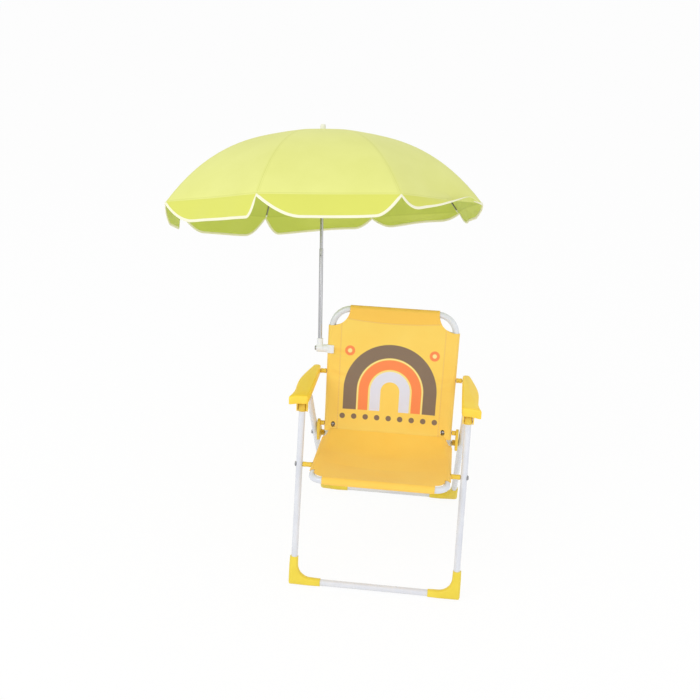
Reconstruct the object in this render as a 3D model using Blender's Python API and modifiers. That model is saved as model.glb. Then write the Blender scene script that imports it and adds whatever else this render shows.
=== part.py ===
"""Child's folding armchair with a parasol clamped to the back frame.

Metres, +Z up. The chair faces -Y and the viewer's right is +X. The side linkage is a
parallelogram: the seat hangs on the front legs at P and carries the back frame at C, and
each armrest joins the front leg at A to the back frame at B, so PC equals AB and CB equals
AP. The rear legs turn at Q on the seat and butt under the armrests when the chair is open.
"""

import math

import bmesh
import bpy
from mathutils import Matrix, Vector

for old in list(bpy.data.objects):
    bpy.data.objects.remove(old, do_unlink=True)

# Driving dimensions, in metres
TUBE_RADIUS = 0.0065
TUBE_WALL = 0.0011
GAP = 0.0003
CUT_MARGIN = 0.004

LEG_HALF_WIDTH = 0.161
LEG_TO_P = 0.2388
LEG_TO_A = 0.3491
LEG_TOP_OVER_A = 0.0090
LEG_BEND_RADIUS = 0.034
FOOT_RADIUS = 0.0095
FOOT_RISE = 0.050
FOOT_RUN = 0.054
FOOT_HALF_DEEP = 0.0072
FOOT_HEEL_INSET = 0.0017

REAR_INSIDE_LEG = 0.0113
REAR_SPREAD = 0.0072
REAR_FOOT_Y = 0.3634
REAR_TO_TOP = 0.1385
REAR_FOOT_RISE = 0.040

SEAT_INSIDE_LEG = 0.0325
SEAT_P_TO_Q = 0.1694
SEAT_P_TO_RAIL = 0.0662
SEAT_BEND_RADIUS = 0.0215
TUBE_END = 0.0085

PLATE_INSIDE_LEG = 0.0195
PLATE_THICK = 0.0058
PLATE_HALF_WIDTH = 0.0085
PLATE_C_FROM_Q = 0.0402
PLATE_PEG_FROM_Q = 0.0240
PEG_RADIUS = 0.0022
BOSS_RADIUS = 0.0062

BACK_INSIDE_LEG = 0.0364
BACK_SPREAD = 0.0030
BACK_C_TO_BEND = 0.2033
BACK_BEND_RADIUS = 0.040

BOLT_RADIUS = 0.0022
BOLT_HOLE_RADIUS = 0.0025
BOLT_HEAD_RADIUS = 0.0042
BOLT_HEAD_THICK = 0.0026
NUT_RADIUS = 0.0048
NUT_LENGTH = 0.0060
CAP_NUT_RADIUS = 0.0046
CAP_NUT_LENGTH = 0.0066
SPACER_RADIUS = 0.0050

CLOTH_THICK = 0.0010
SLEEVE_INNER = 0.0068
SLEEVE_OUTER = 0.0079
SLEEVE_HEM = 0.002
SEAT_SAG = 0.012
BACK_SAG = 0.007
SEAT_SLEEVE_REAR = 0.128
SEAT_CORNER_BARE = 0.0225
BACK_SLEEVE_FROM_C = -0.0080
BACK_BAND_FROM_C = -0.0095
BACK_SLEEVE_TOP = 0.2010
BACK_CORNER_BARE = 0.0425
BACK_CORNER_RADIUS = 0.037
SEAT_SIDE_BARE = 0.0365
SEAT_FLAP_END = 0.134
SEAT_FLAP_RISE = 0.0240
SEAT_FLAP_INSIDE_TUBE = 0.0140

ARM_FRONT_REACH = 0.0157
ARM_REAR_REACH = 0.0086
ARM_INSIDE_LEG = 0.0144
ARM_WIDTH = 0.0368
ARM_TOP = 0.0106
ARM_BOTTOM = 0.0060
ARM_WALL = 0.0020
ARM_TOP_WALL = 0.0022
ARM_EDGE = 0.0028
ARM_PIN_INSET = 0.0008

COLLAR_RADIUS = 0.0080
COLLAR_LENGTH = 0.0135
COLLAR_LID = 0.0016
LUG_HALF = 0.0052
LUG_THICK = 0.0022
LUG_CLEAR = 0.0006

POLE_INSIDE_LEG = 0.0100
CLAMP_FROM_B = 0.0472
POLE_LOWER_RADIUS = 0.0042
POLE_LOWER_BORE = 0.0037
POLE_UPPER_RADIUS = 0.0034
POLE_UPPER_WALL = 0.0008
POLE_LOWER_TOP = 0.205
POLE_LOWER_FOOT = 0.0015
POLE_UPPER_FOOT = 0.110
HUB_RADIUS = 0.0080
HUB_IN = 0.0066
HUB_OUT = 0.0068
SOCKET_RADIUS = 0.0066
SOCKET_TOP = 0.0200
CLAMP_RING_RADIUS = 0.0104
CLAMP_RING_HALF = 0.0085
CLAMP_BORE = 0.0083
CLAMP_MOUTH = 0.0036
CLAMP_MOUTH_BACK = -0.0001
CLAMP_BARREL_IN = 0.0308
KNOB_RADIUS = 0.0046
KNOB_THICK = 0.0036
BUTTON_RADIUS = 0.0016
BUTTON_FROM_TOP = 0.014
BUTTON_OUT = 0.0014

DOME_TOP = 0.4418
DOME_RIM_DROP = 0.153
DOME_SHOULDER_SHARE = 0.42
CANOPY_RADIUS = 0.329
CANOPY_THICK = 0.0012
CANOPY_HOLE = 0.0050
VALANCE_DROP = 0.034
VALANCE_FLARE = 0.008
VALANCE_AT_RIB = 0.003
RIB_RADIUS = 0.0013
RIB_CLEAR = 0.0009
RIB_INNER = 0.0098
RIB_OUTER = 0.3255
RIB_HINGE_R = 0.0068
RIB_HINGE_DOWN = 0.0105
CROWN_RADIUS = 0.0092
CROWN_THICK = 0.0058
FERRULE_RADIUS = 0.0066
FERRULE_TIP_RADIUS = 0.0050
FERRULE_LENGTH = 0.0160
FERRULE_BORE_DEPTH = 0.008
RUNNER_RADIUS = 0.0078
RUNNER_HALF = 0.0090
RUNNER_DOWN = 0.0850
STRETCH_RIB_R = 0.100
STRETCH_RADIUS = 0.0011
STRETCH_INNER = 0.0095
STRETCH_ASIDE = 0.0029

LEG_LEAN = 0.275
ARM_RAISE = 0.160
SEAT_TILT = -0.107
POLE_LEAN = 0.335
POLE_SIDE = -0.048
CANOPY_TURN = 0.166
HOLE_TURN = 0.13
RIBS = 8
PANEL_STEPS = 6
DOME_STEPS = 7
PANEL_PULL_SHARE = 0.085
FLAT_MIDDLE_SHARE = 0.2
RISE_START_SHARE = 0.625
RISE_EDGE_SHARE = 0.2

# Outline of the right armrest seen from above: share of its width from the inner edge, then
# share of its length from the front
ARM_OUTLINE_SHARES = (
    (0.10, 0.000),
    (0.55, -0.012),
    (1.00, -0.045),
    (0.93, 0.055),
    (0.86, 0.170),
    (0.885, 0.330),
    (0.88, 0.480),
    (0.78, 0.640),
    (0.62, 0.800),
    (0.50, 0.910),
    (0.40, 0.985),
    (0.22, 1.000),
    (0.06, 0.988),
    (0.015, 0.960),
    (0.012, 0.900),
    (0.010, 0.800),
    (0.01, 0.600),
    (0.010, 0.350),
    (0.015, 0.150),
    (0.030, 0.040),
)

# Places across the chair that follow from the legs
REAR_HALF_WIDTH = LEG_HALF_WIDTH - REAR_INSIDE_LEG
SEAT_HALF_WIDTH = LEG_HALF_WIDTH - SEAT_INSIDE_LEG
PLATE_INNER_X = LEG_HALF_WIDTH - PLATE_INSIDE_LEG
BACK_HALF_WIDTH_LOW = LEG_HALF_WIDTH - BACK_INSIDE_LEG
BACK_HALF_WIDTH_TOP = BACK_HALF_WIDTH_LOW + BACK_SPREAD
SEAT_FRONT_SLEEVE_HALF = SEAT_HALF_WIDTH - SEAT_CORNER_BARE
BACK_TOP_SLEEVE_HALF = BACK_HALF_WIDTH_TOP - BACK_CORNER_BARE
ARM_INNER_X = LEG_HALF_WIDTH - ARM_INSIDE_LEG
POLE_BASE_X = LEG_HALF_WIDTH - POLE_INSIDE_LEG
HUB_INNER_X = POLE_BASE_X - HUB_IN
HUB_OUTER_X = POLE_BASE_X + HUB_OUT
CLAMP_BARREL_IN_X = POLE_BASE_X - CLAMP_BARREL_IN

parts = bpy.data.collections.new("umbrella_chair")
cutters = bpy.data.collections.new("cutters")
bpy.context.scene.collection.children.link(parts)
bpy.context.scene.collection.children.link(cutters)


def principled(name, colour, roughness, metallic=0.0):
    made = bpy.data.materials.new(name)
    made.use_nodes = True
    shader = made.node_tree.nodes["Principled BSDF"]
    shader.inputs["Base Color"].default_value = (*colour, 1.0)
    shader.inputs["Roughness"].default_value = roughness
    shader.inputs["Metallic"].default_value = metallic
    return made


LOOKS = {
    "tube": ((0.86, 0.87, 0.92), 0.25, 0.0),
    "seat": ((0.93, 0.53, 0.10), 0.85, 0.0),
    "back": ((0.93, 0.62, 0.15), 0.85, 0.0),
    "plastic": ((0.96, 0.64, 0.05), 0.40, 0.0),
    "foot": ((0.90, 0.68, 0.05), 0.45, 0.0),
    "steel": ((0.55, 0.55, 0.55), 0.30, 1.0),
    "clamp": ((0.85, 0.85, 0.84), 0.45, 0.0),
    "chrome": ((0.60, 0.60, 0.60), 0.20, 1.0),
    "canopy": ((0.80, 0.83, 0.22), 0.80, 0.0),
    "pale": ((0.90, 0.90, 0.80), 0.50, 0.0),
    "wire": ((0.35, 0.35, 0.35), 0.35, 1.0),
}


def leg_point(along, x=0.0, behind=0.0):
    """A point on the front legs' plane, measured up the leg from the front rail."""
    return Vector(
        (
            x,
            along * math.sin(LEG_LEAN) + behind * math.cos(LEG_LEAN),
            FOOT_RADIUS + along * math.cos(LEG_LEAN) - behind * math.sin(LEG_LEAN),
        )
    )


UP_LEG = Vector((0.0, math.sin(LEG_LEAN), math.cos(LEG_LEAN)))
ALONG_SEAT = Vector((0.0, math.cos(SEAT_TILT), math.sin(SEAT_TILT)))
ACROSS = Vector((1.0, 0.0, 0.0))
P = leg_point(LEG_TO_P)
A = leg_point(LEG_TO_A)
Q = P + ALONG_SEAT * SEAT_P_TO_Q
R = Vector((0.0, REAR_FOOT_Y, FOOT_RADIUS))
UP_REAR = (Q - R).normalized()
C = Q + UP_REAR * PLATE_C_FROM_Q
B = C + (A - P)
ARM_TILT = math.atan2((B - A).z, (B - A).y) - ARM_RAISE
ARM_SPAN = (B - A).length


def at(point, x):
    return Vector((x, point.y, point.z))


def rounded(points, radius, steps=5):
    """The polyline with each inner corner replaced by an arc."""
    made = [points[0]]
    for before, corner, after in zip(points, points[1:], points[2:]):
        one = (before - corner).normalized()
        two = (after - corner).normalized()
        half = one.angle(two) / 2
        reach = radius / math.tan(half)
        middle = corner + (one + two).normalized() * radius / math.sin(half)
        start = corner + one * reach - middle
        sweep = math.pi - 2 * half
        axis = one.cross(two).normalized()
        for n in range(steps + 1):
            turn = Matrix.Rotation(-sweep * n / steps, 3, axis)
            made.append(middle + turn @ start)
    made.append(points[-1])
    return made


def place(made, name, look, pivot, parent, hidden=False):
    """Gives the mesh object its name, its material, its origin on the pivot and its parent."""
    made.name = name
    made.data.name = name
    made.data.transform(Matrix.Translation(-pivot))
    made.location = pivot
    made.parent = parent
    if hidden:
        made.hide_render = True
        made.display_type = "WIRE"
        cutters.objects.link(made)
    else:
        colour, roughness, metallic = LOOKS[look]
        made.data.materials.append(principled(name, colour, roughness, metallic))
        parts.objects.link(made)
    return made


def swept(points, radius, resolution=4, loop=False):
    """A tube along the points, as a closed mesh object that is in no collection yet."""
    curve = bpy.data.curves.new("path", "CURVE")
    curve.dimensions = "3D"
    curve.bevel_depth = radius
    curve.bevel_resolution = resolution
    curve.render_resolution_u = 0
    curve.use_fill_caps = not loop
    spline = curve.splines.new("POLY")
    spline.points.add(len(points) - 1)
    for target, point in zip(spline.points, points):
        target.co = (*point, 1.0)
    spline.use_cyclic_u = loop
    holder = bpy.data.objects.new("path", curve)
    parts.objects.link(holder)
    bpy.context.view_layer.update()
    graph = bpy.context.evaluated_depsgraph_get()
    mesh = bpy.data.meshes.new_from_object(holder.evaluated_get(graph))
    bpy.data.objects.remove(holder, do_unlink=True)
    bpy.data.curves.remove(curve)
    shell = bmesh.new()
    shell.from_mesh(mesh)
    bmesh.ops.remove_doubles(shell, verts=shell.verts, dist=GAP / 100)
    bmesh.ops.recalc_face_normals(shell, faces=shell.faces)
    shell.to_mesh(mesh)
    shell.free()
    mesh.shade_smooth()
    mesh.set_sharp_from_angle(angle=math.radians(50))
    return bpy.data.objects.new("swept", mesh)


def rod(start, end, radius, sides=16, end_radius=None):
    """A straight cylinder or cone between two points."""
    mesh = bpy.data.meshes.new("rod")
    shell = bmesh.new()
    span = end - start
    bmesh.ops.create_cone(
        shell,
        cap_ends=True,
        segments=sides,
        radius1=radius,
        radius2=radius if end_radius is None else end_radius,
        depth=span.length,
    )
    turn = span.to_track_quat("Z", "Y").to_matrix().to_4x4()
    bmesh.ops.transform(
        shell, matrix=Matrix.Translation((start + end) / 2) @ turn, verts=shell.verts
    )
    shell.to_mesh(mesh)
    shell.free()
    mesh.shade_smooth()
    mesh.set_sharp_from_angle(angle=math.radians(40))
    return bpy.data.objects.new("rod", mesh)


def block(centre, size, turn=None):
    """A box about its centre, turned by an optional matrix."""
    mesh = bpy.data.meshes.new("block")
    shell = bmesh.new()
    bmesh.ops.create_cube(shell, size=1.0)
    matrix = Matrix.Translation(centre) @ (turn or Matrix.Identity(4)) @ Matrix.Diagonal((*size, 1.0))
    bmesh.ops.transform(shell, matrix=matrix, verts=shell.verts)
    shell.to_mesh(mesh)
    shell.free()
    return bpy.data.objects.new("block", mesh)


def boolean(target, tool, operation):
    change = target.modifiers.new(tool.name, "BOOLEAN")
    change.operation = operation
    change.solver = "EXACT"
    change.object = tool


def cut(target, tool, name):
    place(tool, "cut_" + name, None, Vector((0, 0, 0)), target.parent, hidden=True)
    boolean(target, tool, "DIFFERENCE")


def add(target, tool, name):
    place(tool, "add_" + name, None, Vector((0, 0, 0)), target.parent, hidden=True)
    boolean(target, tool, "UNION")


def across_hole(target, point, side, start, end, name, radius=BOLT_HOLE_RADIUS):
    """A round hole along X between two distances from the middle, on one side."""
    low = at(point, side * (start - CUT_MARGIN))
    high = at(point, side * (end + CUT_MARGIN))
    drill = rod(low, high, radius, sides=10)
    turn = Matrix.Rotation(HOLE_TURN, 4, "X")
    drill.data.transform(Matrix.Translation(low) @ turn @ Matrix.Translation(-low))
    cut(target, drill, name)


root = bpy.data.objects.new("umbrella_chair_root", None)
parts.objects.link(root)

SIDES = (("left", -1.0), ("right", 1.0))
BORE = TUBE_RADIUS - TUBE_WALL


def open_frame(name, points, radius, pivot, holes):
    """A bent tube, open at both ends, with its bore and its bolt holes."""
    path = rounded(points, radius)
    first = (path[0] - path[1]).normalized() * CUT_MARGIN
    last = (path[-1] - path[-2]).normalized() * CUT_MARGIN
    inner = [path[0] + first] + path[1:-1] + [path[-1] + last]
    frame = place(swept(path, TUBE_RADIUS), name, "tube", pivot, root)
    cut(frame, swept(inner, BORE, resolution=2), name + "_bore")
    for label, point, x in holes:
        for side_name, side in SIDES:
            across_hole(frame, point, side, x - TUBE_RADIUS, x + TUBE_RADIUS, f"{name}_{label}_{side_name}")
    return frame


# Front legs: one bent tube with its rail on the floor side
leg_top = LEG_TO_A + LEG_TOP_OVER_A
open_frame(
    "front_legs",
    [
        leg_point(leg_top, -LEG_HALF_WIDTH),
        leg_point(0.0, -LEG_HALF_WIDTH),
        leg_point(0.0, LEG_HALF_WIDTH),
        leg_point(leg_top, LEG_HALF_WIDTH),
    ],
    LEG_BEND_RADIUS,
    Vector((0, 0, 0)),
    [("p", P, LEG_HALF_WIDTH), ("a", A, LEG_HALF_WIDTH)],
)

# Rear legs: a second bent tube, bolted to the seat at Q and ending under the armrests
rear_top = Q + UP_REAR * REAR_TO_TOP
rear_rise = (rear_top - R).length


def rear_x(point):
    """Half the width between the rear legs' tube axes, at a point up their length."""
    return REAR_HALF_WIDTH + REAR_SPREAD * (point - R).length / rear_rise


open_frame(
    "rear_legs",
    [
        at(rear_top, -rear_x(rear_top)),
        at(R, -REAR_HALF_WIDTH),
        at(R, REAR_HALF_WIDTH),
        at(rear_top, rear_x(rear_top)),
    ],
    LEG_BEND_RADIUS,
    Q,
    [("q", Q, rear_x(Q))],
)

# Seat frame: a U lying forward, its open ends bolted at Q
seat_end = Q + ALONG_SEAT * TUBE_END
seat_rail = P - ALONG_SEAT * SEAT_P_TO_RAIL
peg = Q - ALONG_SEAT * PLATE_PEG_FROM_Q
open_frame(
    "seat_frame",
    [
        at(seat_end, -SEAT_HALF_WIDTH),
        at(seat_rail, -SEAT_HALF_WIDTH),
        at(seat_rail, SEAT_HALF_WIDTH),
        at(seat_end, SEAT_HALF_WIDTH),
    ],
    SEAT_BEND_RADIUS,
    P,
    [("p", P, SEAT_HALF_WIDTH), ("q", Q, SEAT_HALF_WIDTH), ("peg", peg, SEAT_HALF_WIDTH)],
)

# Back frame: an upside-down U, slightly wider at the top, bolted at C and pinned at B
back_low = C - UP_LEG * TUBE_END
back_top = C + UP_LEG * (BACK_C_TO_BEND + BACK_BEND_RADIUS)
back_rise = BACK_C_TO_BEND + BACK_BEND_RADIUS + TUBE_END


def back_x(along):
    """Half the width between the back frame's tube axes, at a distance up from C."""
    share = (along + TUBE_END) / back_rise
    return BACK_HALF_WIDTH_LOW + (BACK_HALF_WIDTH_TOP - BACK_HALF_WIDTH_LOW) * share


back_bars = (B - C).length
open_frame(
    "back_frame",
    [
        at(back_low, -BACK_HALF_WIDTH_LOW),
        at(back_top, -BACK_HALF_WIDTH_TOP),
        at(back_top, BACK_HALF_WIDTH_TOP),
        at(back_low, BACK_HALF_WIDTH_LOW),
    ],
    BACK_BEND_RADIUS,
    C,
    [("c", C, back_x(0.0)), ("b", B, back_x(back_bars))],
)


# Foot caps: sleeves round the four lower bends
def foot_cap(name, side, half_width, up, corner, rise, pivot, spread=0.0):
    """A sleeve round one lower bend, from up the leg to some way along the rail."""
    path = rounded(
        [
            at(corner, side * (half_width + spread)) + up * rise,
            at(corner, side * half_width),
            at(corner, side * (half_width - FOOT_RUN)),
        ],
        LEG_BEND_RADIUS,
        steps=5,
    )
    first = (path[0] - path[1]).normalized() * CUT_MARGIN
    last = (path[-1] - path[-2]).normalized() * CUT_MARGIN
    inner = [path[0] + first] + path[1:-1] + [path[-1] + last]
    cap = place(swept(path, FOOT_RADIUS, resolution=3), name, "foot", pivot, root)
    behind = ACROSS.cross(up).normalized()
    hollow = LEG_BEND_RADIUS - FOOT_RADIUS + FOOT_HEEL_INSET
    bend = at(corner, side * (half_width - LEG_BEND_RADIUS)) + up * LEG_BEND_RADIUS
    sole = (FOOT_RADIUS - FOOT_HALF_DEEP * abs(up.y)) / up.z
    wide = LEG_BEND_RADIUS + FOOT_RADIUS
    high = LEG_BEND_RADIUS + sole
    toe = at(corner, side * (half_width + FOOT_RADIUS - wide / 2)) + up * (high / 2 - sole)
    lean = Matrix.Rotation(math.atan2(up.z, up.y) - math.pi / 2, 4, "X")
    block_cut = rod(bend - behind * wide, bend + behind * wide, hollow, sides=24)
    heel = block(toe, (wide, 2 * FOOT_HALF_DEEP, high), lean)
    place(block_cut, "cut_" + name + "_bend", None, Vector((0, 0, 0)), root, hidden=True)
    boolean(heel, block_cut, "DIFFERENCE")
    add(cap, heel, name + "_heel")
    cut(cap, swept(inner, TUBE_RADIUS + GAP, resolution=4), name + "_bore")


for side_name, side in SIDES:
    foot_cap(
        "front_foot_" + side_name, side, LEG_HALF_WIDTH, UP_LEG, leg_point(0.0), FOOT_RISE, Vector((0, 0, 0))
    )
    wider = rear_x(R + UP_REAR * REAR_FOOT_RISE) - REAR_HALF_WIDTH
    foot_cap("rear_foot_" + side_name, side, REAR_HALF_WIDTH, UP_REAR, R, REAR_FOOT_RISE, Q, wider)


# Hinge plates: yellow plates fixed outside the seat tubes, carrying Q and C
def hinge_plate(name, side):
    inner = side * PLATE_INNER_X
    outer = side * (PLATE_INNER_X + PLATE_THICK)
    middle = side * (PLATE_INNER_X + PLATE_THICK / 2)
    plate = place(
        rod(at(C, inner), at(C, outer), PLATE_HALF_WIDTH, sides=16), name, "plastic", P, root
    )
    add(plate, rod(at(Q, inner), at(Q, outer), PLATE_HALF_WIDTH, sides=16), name + "_foot")
    tilt = Matrix.Rotation(math.atan2(UP_REAR.z, UP_REAR.y) - math.pi / 2, 4, "X")
    web = (PLATE_THICK, 2 * PLATE_HALF_WIDTH, PLATE_C_FROM_Q)
    add(plate, block(at((Q + C) / 2, middle), web, tilt), name + "_web")
    lean = Matrix.Rotation(SEAT_TILT, 4, "X")
    reach = (PLATE_THICK, PLATE_PEG_FROM_Q, 2 * (PLATE_HALF_WIDTH - TUBE_WALL))
    add(plate, block(at((Q + peg) / 2, middle), reach, lean), name + "_tongue")
    add(plate, rod(at(peg, inner), at(peg, outer), PLATE_HALF_WIDTH - TUBE_WALL, sides=12), name + "_end")
    peg_in = side * (SEAT_HALF_WIDTH - TUBE_RADIUS - GAP)
    add(plate, rod(at(peg, peg_in), at(peg, middle), PEG_RADIUS, sides=12), name + "_peg")
    boss_in = SEAT_HALF_WIDTH + TUBE_RADIUS + GAP
    add(plate, rod(at(Q, side * boss_in), at(Q, middle), BOSS_RADIUS, sides=16), name + "_boss")
    across_hole(plate, Q, side, boss_in, PLATE_INNER_X + PLATE_THICK, name + "_q")
    across_hole(plate, C, side, PLATE_INNER_X, PLATE_INNER_X + PLATE_THICK, name + "_c")


def spacer(name, point, side, start, end, pivot):
    """A yellow ring on a bolt between two tubes."""
    ring = place(
        rod(at(point, side * start), at(point, side * end), SPACER_RADIUS, sides=12),
        name,
        "plastic",
        pivot,
        root,
    )
    across_hole(ring, point, side, start, end, name)


def bolt(name, point, side, nut_x, nut_radius, nut_length, head_x, pivot, headed=True):
    """A bolt along X with a nut at its inner end and, unless sunk, a low head at its outer end."""
    shank_in = side * (nut_x - nut_length / 2)
    shank_out = side * (head_x + (BOLT_HEAD_THICK / 2 if headed else 0.0))
    made = place(
        rod(at(point, shank_in), at(point, shank_out), BOLT_RADIUS, sides=8),
        name,
        "steel",
        pivot,
        root,
    )
    add(made, rod(at(point, side * (nut_x - nut_length)), at(point, side * nut_x), nut_radius, 8), name + "_nut")
    head_end = head_x + BOLT_HEAD_THICK
    if not headed:
        return
    add(made, rod(at(point, side * head_x), at(point, side * head_end), BOLT_HEAD_RADIUS, 8), name + "_head")


for side_name, side in SIDES:
    hinge_plate("hinge_plate_" + side_name, side)
    seat_in = SEAT_HALF_WIDTH - TUBE_RADIUS - GAP
    seat_out = SEAT_HALF_WIDTH + TUBE_RADIUS + GAP
    leg_in = LEG_HALF_WIDTH - TUBE_RADIUS - GAP
    leg_out = LEG_HALF_WIDTH + TUBE_RADIUS + GAP
    rear_out = rear_x(Q) + TUBE_RADIUS + GAP
    plate_out = PLATE_INNER_X + PLATE_THICK + GAP
    back_in_c = back_x(0.0) - SLEEVE_OUTER - GAP
    back_out_c = back_x(0.0) + SLEEVE_OUTER + GAP
    back_in_b = back_x(back_bars) - TUBE_RADIUS - GAP
    back_out_b = back_x(back_bars) + SLEEVE_OUTER + GAP
    bolt("bolt_p_" + side_name, P, side, seat_in, NUT_RADIUS, NUT_LENGTH / 2, leg_out, Vector((0, 0, 0)))
    spacer("spacer_p_" + side_name, P, side, seat_out, leg_in, Vector((0, 0, 0)))
    bolt("bolt_q_" + side_name, Q, side, seat_in, NUT_RADIUS, NUT_LENGTH / 2, rear_out, P)
    bolt("bolt_c_" + side_name, C, side, back_in_c, CAP_NUT_RADIUS, CAP_NUT_LENGTH, plate_out - 3 * GAP, P, headed=False)
    spacer("spacer_c_" + side_name, C, side, back_out_c, PLATE_INNER_X - GAP, P)
    nut_b = back_x(back_bars) - SLEEVE_OUTER - GAP
    head_b = ARM_INNER_X + ARM_WALL + 4 * GAP
    bolt("bolt_b_" + side_name, B, side, nut_b, NUT_RADIUS, NUT_LENGTH / 2, head_b, C)
    spacer("spacer_b_" + side_name, B, side, back_out_b, ARM_INNER_X - GAP, C)


# Armrests: hollow channels open underneath, each turning on its pin at A
def smooth_loop(points, steps=2):
    """A closed curve through the points."""
    made = []
    count = len(points)
    for n in range(count):
        p0, p1, p2, p3 = (points[(n + k - 1) % count] for k in range(4))
        for step in range(steps):
            t = step / steps
            made.append(
                0.5
                * (
                    2 * p1
                    + (p2 - p0) * t
                    + (2 * p0 - 5 * p1 + 4 * p2 - p3) * t * t
                    + (3 * p1 - p0 - 3 * p2 + p3) * t * t * t
                )
            )
    return made


def inset(points, depth):
    """The closed outline moved inwards; the outline runs anticlockwise."""
    made = []
    count = len(points)
    for n in range(count):
        along = (points[(n + 1) % count] - points[n - 1]).normalized()
        made.append(points[n] + Vector((-along.y, along.x)) * depth)
    return made


def slab(outline, low, high):
    """A flat outline given a thickness from low to high."""
    curve = bpy.data.curves.new("outline", "CURVE")
    curve.dimensions = "2D"
    curve.fill_mode = "BOTH"
    curve.extrude = (high - low) / 2
    curve.render_resolution_u = 0
    spline = curve.splines.new("POLY")
    spline.points.add(len(outline) - 1)
    for target, point in zip(spline.points, outline):
        target.co = (point.x, point.y, 0.0, 1.0)
    spline.use_cyclic_u = True
    holder = bpy.data.objects.new("outline", curve)
    parts.objects.link(holder)
    bpy.context.view_layer.update()
    graph = bpy.context.evaluated_depsgraph_get()
    mesh = bpy.data.meshes.new_from_object(holder.evaluated_get(graph))
    bpy.data.objects.remove(holder, do_unlink=True)
    bpy.data.curves.remove(curve)
    mesh.transform(Matrix.Translation((0.0, 0.0, (low + high) / 2)))
    shell = bmesh.new()
    shell.from_mesh(mesh)
    bmesh.ops.remove_doubles(shell, verts=shell.verts, dist=GAP / 100)
    bmesh.ops.recalc_face_normals(shell, faces=shell.faces)
    shell.to_mesh(mesh)
    shell.free()
    return bpy.data.objects.new("slab", mesh)


def lay(made, side, matrix):
    """Mirrors a right-hand mesh for the left side, then lays it on the armrest's line."""
    if side < 0:
        made.data.transform(Matrix.Diagonal((-1.0, 1.0, 1.0, 1.0)))
        made.data.flip_normals()
    made.data.transform(matrix)
    return made


ARM_A_TO_B = ARM_SPAN * math.cos(ARM_RAISE)
ARM_OVER_A = ARM_SPAN * math.sin(ARM_RAISE)
ARM_LENGTH = ARM_FRONT_REACH + ARM_A_TO_B + ARM_REAR_REACH
ARM_FROM_B = Matrix.Translation((0.0, -ARM_A_TO_B, 0.0))
ARM_MATRIX = Matrix.Translation(B) @ Matrix.Rotation(ARM_TILT, 4, "X") @ ARM_FROM_B
arm_outline = smooth_loop(
    [
        Vector((ARM_INNER_X + ARM_WIDTH * across, ARM_LENGTH * along - ARM_FRONT_REACH))
        for across, along in ARM_OUTLINE_SHARES
    ]
)
pocket_outline = inset(arm_outline, ARM_WALL)
for side_name, side in SIDES:
    name = "armrest_" + side_name
    body = lay(slab(arm_outline, -ARM_BOTTOM, ARM_TOP), side, ARM_MATRIX)
    armrest = place(body, name, "plastic", A, root)
    edge = armrest.modifiers.new("edge", "BEVEL")
    edge.width = ARM_EDGE
    edge.segments = 2
    edge.limit_method = "ANGLE"
    edge.angle_limit = math.radians(60)
    edge.use_clamp_overlap = True
    pocket = lay(slab(pocket_outline, -ARM_BOTTOM - CUT_MARGIN, ARM_TOP - ARM_TOP_WALL), side, ARM_MATRIX)
    cut(armrest, pocket, name + "_pocket")
    lug_in = LEG_HALF_WIDTH - COLLAR_RADIUS - LUG_CLEAR - LUG_THICK
    lug_out = LEG_HALF_WIDTH + COLLAR_RADIUS + LUG_CLEAR
    lug_top = ARM_TOP - ARM_TOP_WALL / 2
    for lug_name, x in (("inner", lug_in), ("outer", lug_out)):
        size = (LUG_THICK, 2 * LUG_HALF, lug_top + ARM_OVER_A)
        bar = block(Vector((x + LUG_THICK / 2, 0.0, (lug_top - ARM_OVER_A) / 2)), size)
        add(armrest, lay(bar, side, ARM_MATRIX), f"{name}_lug_{lug_name}")
        low = Vector((x, 0.0, -ARM_OVER_A))
        eye = rod(low, low + ACROSS * LUG_THICK, LUG_HALF, sides=16)
        add(armrest, lay(eye, side, ARM_MATRIX), f"{name}_eye_{lug_name}")
    across_hole(armrest, A, side, lug_in, lug_out + LUG_THICK, name + "_a")
    across_hole(armrest, B, side, ARM_INNER_X, ARM_INNER_X + ARM_WALL, name + "_b")

    # Collar over the leg's top, between the armrest's two lugs
    cap_name = "leg_collar_" + side_name
    low = leg_point(leg_top - COLLAR_LENGTH, side * LEG_HALF_WIDTH)
    lid = leg_point(leg_top + COLLAR_LID, side * LEG_HALF_WIDTH)
    collar = place(rod(low, lid, COLLAR_RADIUS, sides=20), cap_name, "plastic", Vector((0, 0, 0)), root)
    deep = leg_point(leg_top + GAP, side * LEG_HALF_WIDTH)
    under = leg_point(leg_top - COLLAR_LENGTH - CUT_MARGIN, side * LEG_HALF_WIDTH)
    cut(collar, rod(under, deep, TUBE_RADIUS + GAP, sides=20), cap_name + "_bore")
    across_hole(
        collar, A, side, LEG_HALF_WIDTH - COLLAR_RADIUS, LEG_HALF_WIDTH + COLLAR_RADIUS, cap_name + "_pin"
    )
    pin_start = lug_in + ARM_PIN_INSET
    pin_stop = lug_out + LUG_THICK - ARM_PIN_INSET
    place(
        rod(at(A, side * pin_start), at(A, side * pin_stop), BOLT_RADIUS, sides=12),
        "pin_a_" + side_name,
        "steel",
        Vector((0, 0, 0)),
        root,
    )


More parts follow.
